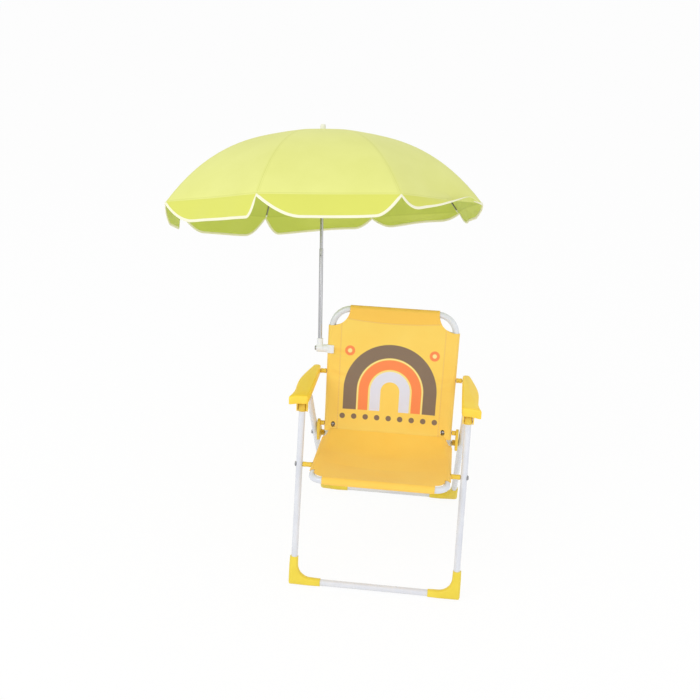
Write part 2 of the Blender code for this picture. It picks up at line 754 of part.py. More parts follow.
# Slings: a sagging band between sleeves that slide over the tubes
def band(low, high, x_low, x_high, lift, sag, flat_end, rows=5, columns=10, rise=None):
    """A sheet lifted off two cross lines and hollowed in its middle, but not at its flat end.

    With a rise, the middle of its far end curves up to that offset from the cross line.
    """
    mesh = bpy.data.meshes.new("band")
    shell = bmesh.new()
    bmesh.ops.create_grid(shell, x_segments=columns, y_segments=rows, size=1.0)
    for vert in shell.verts:
        u = vert.co.x
        t = (vert.co.y + 1) / 2
        centre = low.lerp(high, t)
        half = x_low + (x_high - x_low) * t
        away = min(1.0, abs(t - flat_end) * 2.2)
        edge = max(0.0, (abs(u) - FLAT_MIDDLE_SHARE) / (1 - FLAT_MIDDLE_SHARE))
        hollow = math.sin(math.pi / 2 * away) * (1 - edge * edge)
        offset = lift + sag * hollow
        if rise:
            climb = max(0.0, (t - RISE_START_SHARE) / (1 - RISE_START_SHARE)) ** 2
            inside = min(1.0, max(0.0, (1 - abs(u)) / RISE_EDGE_SHARE))
            offset = offset.lerp(rise, climb * inside)
        vert.co = Vector((u * half, centre.y, centre.z)) + offset
    shell.to_mesh(mesh)
    shell.free()
    made = bpy.data.objects.new("band", mesh)
    skin = made.modifiers.new("cloth", "SOLIDIFY")
    skin.thickness = CLOTH_THICK
    skin.offset = 0.0
    return made


def sling(name, look, sheet, sleeves, bores, corners, pivot):
    """Joins the sleeves to the sheet, then opens the bores and the rounded corners."""
    made = place(sheet, name, look, pivot, root)
    for n, sleeve in enumerate(sleeves):
        add(made, sleeve, f"{name}_sleeve_{n}")
    for n, corner in enumerate(corners):
        cut(made, corner, f"{name}_corner_{n}")
    for n, bore in enumerate(bores):
        cut(made, bore, f"{name}_bore_{n}")
    return made


sleeve_start = P - ALONG_SEAT * (SEAT_P_TO_RAIL - SEAT_SIDE_BARE)
sleeve_stop = P + ALONG_SEAT * SEAT_SLEEVE_REAR
flap_end = P + ALONG_SEAT * SEAT_FLAP_END
seat_sleeves = []
seat_bores = []
for side_name, side in SIDES:
    x = side * SEAT_HALF_WIDTH
    seat_sleeves.append(rod(at(sleeve_start, x), at(sleeve_stop, x), SLEEVE_OUTER, sides=14))
    before = at(sleeve_start, x) - ALONG_SEAT * CUT_MARGIN
    after = at(sleeve_stop, x) + ALONG_SEAT * CUT_MARGIN
    seat_bores.append(rod(before, after, SLEEVE_INNER, sides=14))
    low = at(P, side * (SEAT_HALF_WIDTH - SLEEVE_OUTER - CUT_MARGIN))
    high = at(P, side * (SEAT_HALF_WIDTH + SLEEVE_OUTER + CUT_MARGIN))
    seat_bores.append(rod(low, high, SPACER_RADIUS + 2 * GAP, sides=16))
front_half = SEAT_FRONT_SLEEVE_HALF
seat_sleeves.append(rod(at(seat_rail, -front_half), at(seat_rail, front_half), SLEEVE_OUTER, sides=14))
seat_bores.append(
    rod(
        at(seat_rail, -front_half - CUT_MARGIN),
        at(seat_rail, front_half + CUT_MARGIN),
        SLEEVE_INNER,
        sides=14,
    )
)
seat_corners = []
seat_normal = Vector((0.0, -math.sin(SEAT_TILT), math.cos(SEAT_TILT)))
for side_name, side in SIDES:
    centre = at(seat_rail, side * SEAT_HALF_WIDTH)
    slant = math.hypot(SEAT_CORNER_BARE, SEAT_SIDE_BARE)
    reach = 2 * SEAT_CORNER_BARE * SEAT_SIDE_BARE / slant
    facing = math.atan2(SEAT_CORNER_BARE, -side * SEAT_SIDE_BARE)
    turned = Matrix.Rotation(SEAT_TILT, 4, "X") @ Matrix.Rotation(facing, 4, "Z")
    seat_corners.append(block(centre, (reach, 3 * slant, slant), turned))
    flap_out = SEAT_FLAP_INSIDE_TUBE + SLEEVE_OUTER + CUT_MARGIN
    flap_x = side * (SEAT_HALF_WIDTH - SEAT_FLAP_INSIDE_TUBE + flap_out / 2)
    flap_rear = SEAT_SLEEVE_REAR + SLEEVE_HEM
    flap_cut = at(P + ALONG_SEAT * (flap_rear + CUT_MARGIN), flap_x)
    lean = Matrix.Rotation(SEAT_TILT, 4, "X")
    seat_corners.append(block(flap_cut, (flap_out, 2 * CUT_MARGIN, slant), lean))
sling(
    "seat_sling",
    "seat",
    band(
        seat_rail,
        flap_end,
        SEAT_HALF_WIDTH,
        SEAT_HALF_WIDTH,
        seat_normal * (SLEEVE_INNER + SLEEVE_OUTER) / 2,
        -seat_normal * SEAT_SAG,
        0.0,
        rows=8,
        columns=14,
        rise=seat_normal * SEAT_FLAP_RISE,
    ),
    seat_sleeves,
    seat_bores,
    seat_corners,
    P,
)

back_normal = Vector((0.0, math.cos(LEG_LEAN), -math.sin(LEG_LEAN)))
back_rail = back_top
back_sleeves = []
back_bores = []
for side_name, side in SIDES:
    low = at(C + UP_LEG * BACK_SLEEVE_FROM_C, side * back_x(BACK_SLEEVE_FROM_C))
    high = at(C + UP_LEG * BACK_SLEEVE_TOP, side * back_x(BACK_SLEEVE_TOP))
    run = (high - low).normalized()
    back_sleeves.append(rod(low, high, SLEEVE_OUTER, sides=14))
    back_bores.append(rod(low - run * CUT_MARGIN, high + run * CUT_MARGIN, SLEEVE_INNER, sides=14))
    x = back_x(back_bars)
    pin_low = at(B, side * (x - SLEEVE_OUTER - CUT_MARGIN))
    pin_high = at(B, side * (x + SLEEVE_OUTER + CUT_MARGIN))
    back_bores.append(rod(pin_low, pin_high, BOLT_HOLE_RADIUS + GAP, sides=12))
    x = back_x(0.0)
    pin_low = at(C, side * (x - SLEEVE_OUTER - CUT_MARGIN))
    pin_high = at(C, side * (x + SLEEVE_OUTER + CUT_MARGIN))
    back_bores.append(rod(pin_low, pin_high, BOLT_HOLE_RADIUS + GAP, sides=12))
top_half = BACK_TOP_SLEEVE_HALF
back_sleeves.append(rod(at(back_rail, -top_half), at(back_rail, top_half), SLEEVE_OUTER, sides=14))
back_bores.append(
    rod(
        at(back_rail, -top_half - CUT_MARGIN),
        at(back_rail, top_half + CUT_MARGIN),
        SLEEVE_INNER,
        sides=14,
    )
)
back_corners = []
for side_name, side in SIDES:
    centre = at(back_rail, side * BACK_HALF_WIDTH_TOP)
    back_corners.append(
        rod(
            centre - back_normal * BACK_CORNER_RADIUS,
            centre + back_normal * BACK_CORNER_RADIUS,
            BACK_CORNER_RADIUS,
            sides=24,
        )
    )
band_low = C + UP_LEG * BACK_BAND_FROM_C
sling(
    "back_sling",
    "back",
    band(
        band_low,
        back_rail,
        back_x(BACK_BAND_FROM_C),
        BACK_HALF_WIDTH_TOP,
        -back_normal * (SLEEVE_INNER + SLEEVE_OUTER) / 2,
        back_normal * BACK_SAG,
        1.0,
    ),
    back_sleeves,
    back_bores,
    back_corners,
    C,
)

# Parasol: everything on the pole is laid out on an empty whose Z runs up the pole
E = at(B + UP_LEG * CLAMP_FROM_B, -POLE_BASE_X)
pole_turn = Matrix.Rotation(-POLE_LEAN, 4, "X") @ Matrix.Rotation(POLE_SIDE, 4, "Y")
pole_frame = bpy.data.objects.new("pole_frame", None)
parts.objects.link(pole_frame)
pole_frame.parent = root
pole_frame.matrix_local = Matrix.Translation(E) @ pole_turn


def up(height, x=0.0, y=0.0):
    return Vector((x, y, height))


def hub_x(distance):
    """Distance along the hub's axis for a distance from the chair's middle."""
    return POLE_BASE_X - distance


# Clamp on the back frame's left tube
tube_axis = at(B + UP_LEG * CLAMP_FROM_B, -back_x(back_bars + CLAMP_FROM_B))
clamp = place(
    rod(tube_axis - UP_LEG * CLAMP_RING_HALF, tube_axis + UP_LEG * CLAMP_RING_HALF, CLAMP_RING_RADIUS, 24),
    "clamp",
    "clamp",
    C,
    root,
)
add(clamp, rod(at(E, -CLAMP_BARREL_IN_X), at(E, -HUB_INNER_X + GAP), HUB_RADIUS, 24), "clamp_barrel")
flat = 2 * CLAMP_RING_RADIUS
face = E + pole_turn @ Vector((hub_x(HUB_INNER_X) + GAP - flat / 2, 0.0, 0.0))
cut(clamp, block(face, (flat, 3 * flat, 3 * flat), pole_turn), "clamp_face")
bar_up = Vector((-(BACK_HALF_WIDTH_TOP - BACK_HALF_WIDTH_LOW) / back_rise, UP_LEG.y, UP_LEG.z)).normalized()
reach = CLAMP_RING_RADIUS + 2 * CUT_MARGIN
cut(clamp, rod(tube_axis - bar_up * reach, tube_axis + bar_up * reach, CLAMP_BORE, 20), "clamp_bore")

mouth = 2 * CLAMP_RING_RADIUS
cut(
    clamp,
    block(
        tube_axis + ACROSS * mouth / 2 - back_normal * (SLEEVE_INNER + CLAMP_MOUTH_BACK),
        (mouth, CLAMP_MOUTH, 4 * CLAMP_RING_HALF),
        Matrix.Rotation(-LEG_LEAN, 4, "X"),
    ),
    "clamp_mouth",
)

# Tilting hub with the pole's socket
hub = place(
    rod(up(0.0, x=hub_x(HUB_INNER_X)), up(0.0, x=hub_x(HUB_OUTER_X)), HUB_RADIUS, 24),
    "tilt_hub",
    "clamp",
    Vector((0, 0, 0)),
    pole_frame,
)
add(hub, rod(up(0.0), up(SOCKET_TOP), SOCKET_RADIUS, 20), "tilt_hub_socket")
keep = 2 * SOCKET_RADIUS
cut(
    hub,
    block(up(0.0, x=hub_x(HUB_INNER_X) + keep / 2), (keep, 2 * keep, 4 * keep)),
    "tilt_hub_face",
)
cut(hub, rod(up(0.0), up(SOCKET_TOP + CUT_MARGIN), POLE_LOWER_RADIUS + GAP, 16), "tilt_hub_bore")
knob_face = hub_x(HUB_OUTER_X) - GAP
place(
    rod(up(0.0, x=knob_face), up(0.0, x=knob_face - KNOB_THICK), KNOB_RADIUS, 10),
    "clamp_knob",
    "steel",
    up(0.0),
    pole_frame,
)

# Two-part pole
lower = place(
    rod(up(POLE_LOWER_FOOT), up(POLE_LOWER_TOP), POLE_LOWER_RADIUS, 16),
    "pole_lower",
    "chrome",
    up(0.0),
    pole_frame,
)
cut(
    lower,
    rod(up(POLE_LOWER_FOOT - CUT_MARGIN), up(POLE_LOWER_TOP + CUT_MARGIN), POLE_LOWER_BORE, 16),
    "pole_lower_bore",
)
button_height = POLE_LOWER_TOP - BUTTON_FROM_TOP
cut(
    lower,
    rod(
        up(button_height, y=-POLE_LOWER_RADIUS - CUT_MARGIN),
        up(button_height, y=-POLE_LOWER_BORE + TUBE_WALL),
        BUTTON_RADIUS + GAP,
        10,
    ),
    "pole_lower_hole",
)
place(
    rod(
        up(button_height, y=-POLE_LOWER_RADIUS - BUTTON_OUT),
        up(button_height, y=-POLE_UPPER_RADIUS - GAP),
        BUTTON_RADIUS,
        10,
    ),
    "lock_button",
    "steel",
    up(0.0),
    pole_frame,
)
dome_inside = DOME_TOP - CANOPY_THICK - GAP
pole_top = DOME_TOP + FERRULE_BORE_DEPTH - GAP
upper = place(
    rod(up(POLE_UPPER_FOOT), up(pole_top), POLE_UPPER_RADIUS, 16), "pole_upper", "chrome", up(0.0), pole_frame
)
cut(
    upper,
    rod(
        up(POLE_UPPER_FOOT - CUT_MARGIN),
        up(pole_top + CUT_MARGIN),
        POLE_UPPER_RADIUS - POLE_UPPER_WALL,
        12,
    ),
    "pole_upper_bore",
)
crown = place(
    rod(up(dome_inside - GAP - CROWN_THICK), up(dome_inside - GAP), CROWN_RADIUS, 24),
    "crown",
    "pale",
    up(0.0),
    pole_frame,
)
cut(
    crown,
    rod(up(dome_inside - CROWN_THICK - CUT_MARGIN), up(DOME_TOP), POLE_UPPER_RADIUS + GAP, 16),
    "crown_bore",
)
ferrule = place(
    rod(
        up(DOME_TOP + GAP),
        up(DOME_TOP + FERRULE_LENGTH),
        FERRULE_RADIUS,
        16,
        end_radius=FERRULE_TIP_RADIUS,
    ),
    "ferrule",
    "pale",
    up(0.0),
    pole_frame,
)
cut(
    ferrule,
    rod(up(DOME_TOP - CUT_MARGIN), up(DOME_TOP + FERRULE_BORE_DEPTH), POLE_UPPER_RADIUS + GAP, 16),
    "ferrule_bore",
)
runner_height = DOME_TOP - RUNNER_DOWN
runner = place(
    rod(up(runner_height - RUNNER_HALF), up(runner_height + RUNNER_HALF), RUNNER_RADIUS, 24),
    "runner",
    "pale",
    up(0.0),
    pole_frame,
)
cut(
    runner,
    rod(
        up(runner_height - RUNNER_HALF - CUT_MARGIN),
        up(runner_height + RUNNER_HALF + CUT_MARGIN),
        POLE_UPPER_RADIUS + GAP,
        16,
    ),
    "runner_bore",
)


def dome_drop(radius):
    """How far the dome has fallen from its top at a distance from the pole."""
    square = (radius / CANOPY_RADIUS) ** 2
    return DOME_RIM_DROP * ((1 - DOME_SHOULDER_SHARE) * square + DOME_SHOULDER_SHARE * square * square)


stations = [CANOPY_HOLE] + [CANOPY_RADIUS * n / DOME_STEPS for n in range(1, DOME_STEPS + 1)]


def dome_height(radius):
    """Height on the faceted dome along a rib, between its stations."""
    for low, high in zip(stations, stations[1:]):
        if radius <= high:
            share = (radius - low) / (high - low)
            return DOME_TOP - (dome_drop(low) * (1 - share) + dome_drop(high) * share)
    return DOME_TOP - dome_drop(radius)


# Ribs and stretchers, one set for each of the eight directions
slope_allowance = CANOPY_THICK * 1.5 + RIB_CLEAR + RIB_RADIUS
for n in range(RIBS):
    angle = CANOPY_TURN + math.pi + (n + 0.5) * math.tau / RIBS
    out = Vector((math.cos(angle), math.sin(angle), 0.0))
    aside = Vector((-math.sin(angle), math.cos(angle), 0.0))
    radii = [RIB_INNER] + [r for r in stations[1:-1]] + [RIB_OUTER]
    path = [out * r + up(dome_height(r) - slope_allowance) for r in radii]
    path[0].z = DOME_TOP - RIB_HINGE_DOWN
    hinge = out * RIB_HINGE_R + up(DOME_TOP - RIB_HINGE_DOWN)
    place(swept(path, RIB_RADIUS, resolution=1), f"rib_{n + 1}", "wire", hinge, pole_frame)
    joint = out * STRETCH_RIB_R + up(dome_height(STRETCH_RIB_R) - slope_allowance) + aside * STRETCH_ASIDE
    foot = out * STRETCH_INNER + up(runner_height) + aside * STRETCH_ASIDE
    turn_at = out * RUNNER_RADIUS + up(runner_height)
    place(rod(foot, joint, STRETCH_RADIUS, sides=6), f"stretcher_{n + 1}", "wire", turn_at, pole_frame)

# Canopy: eight panels over the ribs with a scalloped valance
mesh = bpy.data.meshes.new("canopy")
shell = bmesh.new()
around = RIBS * PANEL_STEPS
bmesh.ops.create_grid(shell, x_segments=around, y_segments=DOME_STEPS + 1, size=1.0)
for vert in shell.verts:
    column = round((vert.co.x + 1) / 2 * around)
    row = round((vert.co.y + 1) / 2 * (DOME_STEPS + 1))
    angle = CANOPY_TURN + math.pi + (column / PANEL_STEPS + 0.5) * math.tau / RIBS
    slack = math.sin(math.pi * (column % PANEL_STEPS) / PANEL_STEPS)
    station = stations[min(row, DOME_STEPS)]
    radius = station * (1 - PANEL_PULL_SHARE * slack * station / CANOPY_RADIUS)
    height = DOME_TOP - dome_drop(station)
    if row > DOME_STEPS:
        radius = radius + VALANCE_FLARE * slack + VALANCE_AT_RIB / 2
        height = height - VALANCE_DROP * slack - VALANCE_AT_RIB
    vert.co = Vector((radius * math.cos(angle), radius * math.sin(angle), height))
bmesh.ops.remove_doubles(shell, verts=shell.verts, dist=GAP)
bmesh.ops.recalc_face_normals(shell, faces=shell.faces)
if sum(face.normal.z for face in shell.faces) < 0:
    bmesh.ops.reverse_faces(shell, faces=shell.faces)
shell.to_mesh(mesh)
shell.free()
canopy = place(bpy.data.objects.new("canopy", mesh), "canopy", "canopy", up(0.0), pole_frame)
cloth = canopy.modifiers.new("cloth", "SOLIDIFY")
cloth.thickness = CANOPY_THICK
cloth.offset = -1.0

# The origin is the middle of the whole object's box, on the floor
bpy.context.view_layer.update()
graph = bpy.context.evaluated_depsgraph_get()
corners = []
for piece in parts.objects:
    if piece.type == "MESH":
        solid = piece.evaluated_get(graph)
        corners += [solid.matrix_world @ vert.co for vert in solid.data.vertices]
middle_x = (min(c.x for c in corners) + max(c.x for c in corners)) / 2
middle_y = (min(c.y for c in corners) + max(c.y for c in corners)) / 2
root.location = Vector((-middle_x, -middle_y, -min(c.z for c in corners)))
bpy.context.view_layer.update()
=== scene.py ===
"""Looks of a child's folding armchair with a clamp-on parasol."""

import math

import bmesh
import bpy
from mathutils import Matrix, Vector


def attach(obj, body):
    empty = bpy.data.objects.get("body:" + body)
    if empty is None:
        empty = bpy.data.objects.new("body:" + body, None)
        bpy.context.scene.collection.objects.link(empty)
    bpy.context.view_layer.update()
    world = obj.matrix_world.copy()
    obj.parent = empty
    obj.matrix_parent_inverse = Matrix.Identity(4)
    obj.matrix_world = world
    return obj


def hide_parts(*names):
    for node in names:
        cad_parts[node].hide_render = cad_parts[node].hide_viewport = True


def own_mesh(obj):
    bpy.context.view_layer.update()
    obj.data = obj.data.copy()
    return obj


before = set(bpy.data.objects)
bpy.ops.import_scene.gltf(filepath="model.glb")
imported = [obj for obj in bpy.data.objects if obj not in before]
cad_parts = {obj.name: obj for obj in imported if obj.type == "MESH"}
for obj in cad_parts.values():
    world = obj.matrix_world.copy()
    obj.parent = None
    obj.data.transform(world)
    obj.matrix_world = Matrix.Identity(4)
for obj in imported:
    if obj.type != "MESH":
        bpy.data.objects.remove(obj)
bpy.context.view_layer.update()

# The chair's own measures, in metres, from the middle of its front rail on the floor
CHAIR_MIDDLE = Vector((0.151496, -0.322336, 0.0))
SIDES = (("left", -1.0), ("right", 1.0))
TUBE_RADIUS = 0.0065
LEG_HALF_WIDTH = 0.161
LEG_TO_P = 0.2388
LEG_TO_A = 0.3491
LEG_TOP = 0.3581
LEG_BEND = 0.034
FOOT_RADIUS = 0.0095
REAR_HALF_WIDTH = 0.1497
REAR_SPREAD = 0.0072
REAR_RISE = 0.3870
REAR_RAIL_BACK = 0.3634
REAR_PAST_Q = 0.1385
SEAT_HALF_WIDTH = 0.1285
SEAT_P_TO_Q = 0.1694
SEAT_P_TO_RAIL = 0.0662
SEAT_BEND = 0.0215
Q_TO_C = 0.0402
BACK_HALF_LOW = 0.1246
BACK_HALF_TOP = 0.1276
BACK_TO_BEND = 0.2033
BACK_BEND = 0.040
TUBE_END = 0.0085
ARM_INNER = 0.1466
ARM_WIDTH = 0.0368
ARM_TOP = 0.0106
ARM_BOTTOM = 0.0060
ARM_FRONT_REACH = 0.0157
ARM_REAR_REACH = 0.0086
PLATE_INNER = 0.1415
PLATE_OUTER = 0.1473
CLAMP_ABOVE_B = 0.0472
POLE_OUT = 0.151
DOME_TOP = 0.4418
RIM_DROP = 0.153
SHOULDER = 0.42
CANOPY_RADIUS = 0.329
CANOPY_TURN = 0.166
RIB_START = 0.0098
RIB_END = 0.3255
RIB_UNDER = 0.0040
STRETCHER_OUT = 0.100
STRETCHER_ASIDE = 0.0029
RUNNER_UNDER_TOP = 0.0850
LEG_LEAN = 0.275
SEAT_TILT = -0.107
ARM_RAISE = 0.160
POLE_LEAN = 0.335
POLE_SIDE = 0.048
CANOPY_SIDE = 0.018


def leg_point(along, x=0.0):
    return Vector((x, along * math.sin(LEG_LEAN), FOOT_RADIUS + along * math.cos(LEG_LEAN)))


def at(point, x):
    return Vector((x, point.y, point.z))


UP_LEG = Vector((0.0, math.sin(LEG_LEAN), math.cos(LEG_LEAN)))
ALONG_SEAT = Vector((0.0, math.cos(SEAT_TILT), math.sin(SEAT_TILT)))
SEAT_UP = Vector((0.0, -math.sin(SEAT_TILT), math.cos(SEAT_TILT)))
BACK_FRONT = Vector((0.0, -math.cos(LEG_LEAN), math.sin(LEG_LEAN)))
P = leg_point(LEG_TO_P)
A = leg_point(LEG_TO_A)
Q = P + ALONG_SEAT * SEAT_P_TO_Q
R = Vector((0.0, REAR_RAIL_BACK, FOOT_RADIUS))
UP_REAR = (Q - R).normalized()
C = Q + UP_REAR * Q_TO_C
B = C + (A - P)
ARM_TILT = math.atan2((B - A).z, (B - A).y) - ARM_RAISE
A_TO_B = (B - A).length * math.cos(ARM_RAISE)
A_UNDER = (B - A).length * math.sin(ARM_RAISE)
SEAT_RAIL = P - ALONG_SEAT * SEAT_P_TO_RAIL
BACK_TOP = C + UP_LEG * (BACK_TO_BEND + BACK_BEND)
E = at(B + UP_LEG * CLAMP_ABOVE_B, -POLE_OUT)


def moved(x, y, z):
    return Matrix.Translation((x, y, z))


def spun(angle, axis):
    return Matrix.Rotation(angle, 4, axis)


ON_ARM = moved(*B) @ spun(ARM_TILT, "X") @ moved(0.0, -A_TO_B, 0.0)
ON_POLE = moved(*E) @ spun(-POLE_LEAN, "X") @ spun(-POLE_SIDE, "Y")
ON_CANOPY = ON_POLE @ moved(0.0, 0.0, DOME_TOP) @ spun(-CANOPY_SIDE, "Y") @ moved(0.0, 0.0, -DOME_TOP)


def back_half(along):
    """Half the width between the back's tubes, at a distance up from the lower bolt."""
    share = (along + TUBE_END) / (BACK_TO_BEND + BACK_BEND + TUBE_END)
    return BACK_HALF_LOW + (BACK_HALF_TOP - BACK_HALF_LOW) * share


def rear_half(point):
    """Half the width between the rear legs' tubes at a point up their length."""
    return REAR_HALF_WIDTH + REAR_SPREAD * (point - R).length / REAR_RISE


# Materials

def tint(code):
    """Linear colour of a paint or dye given as six hexadecimal digits."""
    made = []
    for n in (0, 2, 4):
        level = int(code[n:n + 2], 16) / 255
        made.append(level / 12.92 if level < 0.04045 else ((level + 0.055) / 1.055) ** 2.4)
    return (*made, 1.0)


class Nodes:
    """Short names for the nodes of one material, or of the world."""

    def __init__(self, tree):
        self.nodes = tree.nodes
        self.links = tree.links

    def fill(self, node, values):
        """Sets each socket to a number or a colour, or links it to another node."""
        for socket, value in values.items():
            if isinstance(value, bpy.types.NodeSocket):
                self.links.new(value, node.inputs[socket])
            else:
                node.inputs[socket].default_value = tint(value) if isinstance(value, str) else value

    def node(self, kind, output, values=None):
        made = self.nodes.new("ShaderNode" + kind)
        self.fill(made, values or {})
        return made.outputs[output]

    def noise(self, scale, detail=3.0, vector=None):
        vector = vector or self.node("TexCoord", "Object")
        return self.node("TexNoise", "Fac", {"Scale": scale, "Detail": detail, "Vector": vector})

    def ranged(self, source, low, high, from_low=0.3, from_high=0.7):
        return self.node("MapRange", "Result", {
            "Value": source, "From Min": from_low, "From Max": from_high, "To Min": low, "To Max": high,
        })

    def two_tone(self, factor, first, second):
        made = self.nodes.new("ShaderNodeMix")
        made.data_type = "RGBA"
        self.fill(made, {"A": first, "B": second, "Factor": factor})
        return made.outputs["Result"]

    def bump(self, shader, height, distance, strength=1.0):
        relief = self.node("Bump", "Normal", {"Distance": distance, "Strength": strength, "Height": height})
        self.fill(shader, {"Normal": relief})

    def maths(self, operation, first, second=None):
        made = self.nodes.new("ShaderNodeMath")
        made.operation = operation
        self.fill(made, {0: first} if second is None else {0: first, 1: second})
        return made.outputs[0]

    def plus(self, first, second):
        return self.maths("ADD", first, second)

    def less(self, first, second):
        return self.maths("SUBTRACT", first, second)

    def times(self, first, second):
        return self.maths("MULTIPLY", first, second)

    def between(self, value, low, high, blur=0.0002):
        """1 where the value lies between two limits, with a soft edge."""
        rise = self.ranged(value, 0.0, 1.0, low - blur, low + blur)
        fall = self.ranged(value, 1.0, 0.0, high - blur, high + blur)
        return self.times(rise, fall)

    def wave(self, vector, direction, pitch):
        made = self.nodes.new("ShaderNodeTexWave")
        made.bands_direction = direction
        self.fill(made, {"Scale": math.pi / (10 * pitch), "Vector": vector})
        return made.outputs["Fac"]

    def parts(self, vector):
        """The vector's first two measures."""
        made = self.nodes.new("ShaderNodeSeparateXYZ")
        self.fill(made, {"Vector": vector})
        return made.outputs["X"], made.outputs["Y"]

    def seen_straight(self):
        """1 for what the camera sees, itself or by a reflection or through glass."""
        ray = self.nodes.new("ShaderNodeLightPath")
        seen = self.maths("MAXIMUM", ray.outputs["Is Camera Ray"], ray.outputs["Is Glossy Ray"])
        return self.maths("MAXIMUM", seen, ray.outputs["Is Transmission Ray"])


def material(name, colour, roughness):
    made = bpy.data.materials.new(name)
    made.use_nodes = True
    look = Nodes(made.node_tree)
    shader = look.nodes["Principled BSDF"]
    look.fill(shader, {"Base Color": colour, "Roughness": roughness})
    return made, look, shader


def enamel():
    """White stove enamel on steel tube: smooth, faintly uneven, a little duller in patches."""
    made, look, shader = material("white_enamel", "EFF0F6", 0.28)
    patches = look.noise(35.0)
    look.fill(shader, {
        "Base Color": look.two_tone(look.ranged(patches, 0.0, 1.0), "E2E4EA", "D7DAE3"),
        "Roughness": look.ranged(patches, 0.22, 0.34),
        "Coat Weight": 0.35,
        "Coat Roughness": 0.15,
    })
    look.bump(shader, look.noise(900.0, 2.0), 0.00003, 0.4)
    return made


def moulded(name, light, deep, roughness):
    """Moulded plastic: soft colour drift, fine spark texture, a dull sheen."""
    made, look, shader = material(name, light, roughness)
    grain = look.noise(1600.0)
    look.fill(shader, {
        "Base Color": look.two_tone(look.ranged(look.noise(28.0), 0.0, 1.0), light, deep),
        "Roughness": look.ranged(grain, roughness - 0.05, roughness + 0.07),
    })
    look.bump(shader, grain, 0.00004, 0.5)
    return made


def metal(name, colour, roughness, streaks):
    """Plated or drawn steel with fine streaks."""
    made, look, shader = material(name, colour, roughness)
    stretched = look.node("Mapping", "Vector", {"Vector": look.node("TexCoord", "Object"), "Scale": streaks})
    streaked = look.noise(60.0, 4.0, stretched)
    look.fill(shader, {
        "Metallic": 1.0,
        "Roughness": look.ranged(streaked, roughness * 0.7, roughness * 1.4),
    })
    return made


def cloth(name, light, deep, hem, pitch=0.0011):
    """Woven polyester with a slow drift of colour; threads show in the tone and the relief."""
    made, look, shader = material(name, light, 0.82)
    # Plain weave on the cloth's own flat measure
    measure = look.nodes.new("ShaderNodeUVMap")
    measure.uv_map = "cloth"
    flat = measure.outputs["UV"]
    over = look.times(look.wave(flat, "X", pitch), look.wave(flat, "Y", pitch))
    look.bump(shader, over, 0.00012, 0.6)
    body = look.two_tone(look.ranged(look.noise(14.0, 4.0), 0.0, 1.0), light, deep)
    body = look.two_tone(look.ranged(over, 0.0, 0.12, 0.0, 1.0), body, hem)
    look.fill(shader, {"Base Color": body, "Sheen Weight": 0.15, "Sheen Roughness": 0.5})
    return made, look, shader, flat, body


white_enamel = enamel()
arm_plastic = moulded("armrest_plastic", "FFDC48", "FED440", 0.42)
foot_plastic = moulded("foot_plastic", "F0D846", "E8CF3D", 0.45)
fitting_plastic = moulded("fitting_plastic", "EFCB45", "E3BC3A", 0.42)
clamp_plastic = moulded("clamp_plastic", "EFF0F5", "E6E8EE", 0.45)
pale_plastic = moulded("pale_plastic", "F2F2E6", "E9E9DA", 0.45)
plated = metal("plated_steel", "B0B0B2", 0.24, (1.0, 1.0, 0.05))
bolt_steel = metal("bolt_steel", "A2A2A4", 0.34, (1.0, 1.0, 1.0))
wire_steel = metal("wire_steel", "8E8E90", 0.38, (1.0, 1.0, 1.0))
seat_cloth = cloth("seat_cloth", "FFD05A", "FECB53", "F6BC44")[0]


# Modelling helpers

def bare():
    """Leaves nothing selected before a new primitive is added."""
    if bpy.context.object and bpy.context.object.mode != "OBJECT":
        bpy.ops.object.mode_set(mode="OBJECT")
    bpy.ops.object.select_all(action="DESELECT")


def pick(made):
    """Selects this one piece alone."""
    bare()
    made.select_set(True)
    bpy.context.view_layer.objects.active = made


def face_out():
    """Turns the faces of the piece at hand outwards and leaves edit mode."""
    bpy.ops.object.mode_set(mode="EDIT")
    bpy.ops.mesh.select_all(action="SELECT")
    bpy.ops.mesh.normals_make_consistent(inside=False)
    bpy.ops.object.mode_set(mode="OBJECT")


def combine(made, tools, operation):
    """Adds the tools' shapes to the piece, or takes them out of it."""
    for tool in tools:
        pick(made)
        change = made.modifiers.new("change", "BOOLEAN")
        change.operation = operation
        change.solver = "EXACT"
        change.object = tool
        bpy.ops.object.modifier_apply(modifier=change.name)
        bpy.data.objects.remove(tool, do_unlink=True)


def settle(made, body, finish, stands_for=(), matrix=None, angle=40.0):
    """Puts the mesh in the frame's place, gives it its body and, where it has none yet, its finish."""
    made.data.transform(moved(*CHAIR_MIDDLE) @ (matrix or Matrix.Identity(4)))
    if finish:
        made.data.materials.append(finish)
    pick(made)
    bpy.ops.object.shade_smooth_by_angle(angle=math.radians(angle))
    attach(made, body)
    if stands_for:
        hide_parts(*stands_for)
    return made


def rounded(points, radius, steps=14):
    """The polyline with each inner corner replaced by an arc."""
    made = [points[0]]
    for before, corner, after in zip(points, points[1:], points[2:]):
        one = (before - corner).normalized()
        two = (after - corner).normalized()
        half = one.angle(two) / 2
        middle = corner + (one + two).normalized() * radius / math.sin(half)
        start = corner + one * radius / math.tan(half) - middle
        axis = one.cross(two).normalized()
        for n in range(steps + 1):
            made.append(middle + Matrix.Rotation(-(math.pi - 2 * half) * n / steps, 3, axis) @ start)
    made.append(points[-1])
    return made


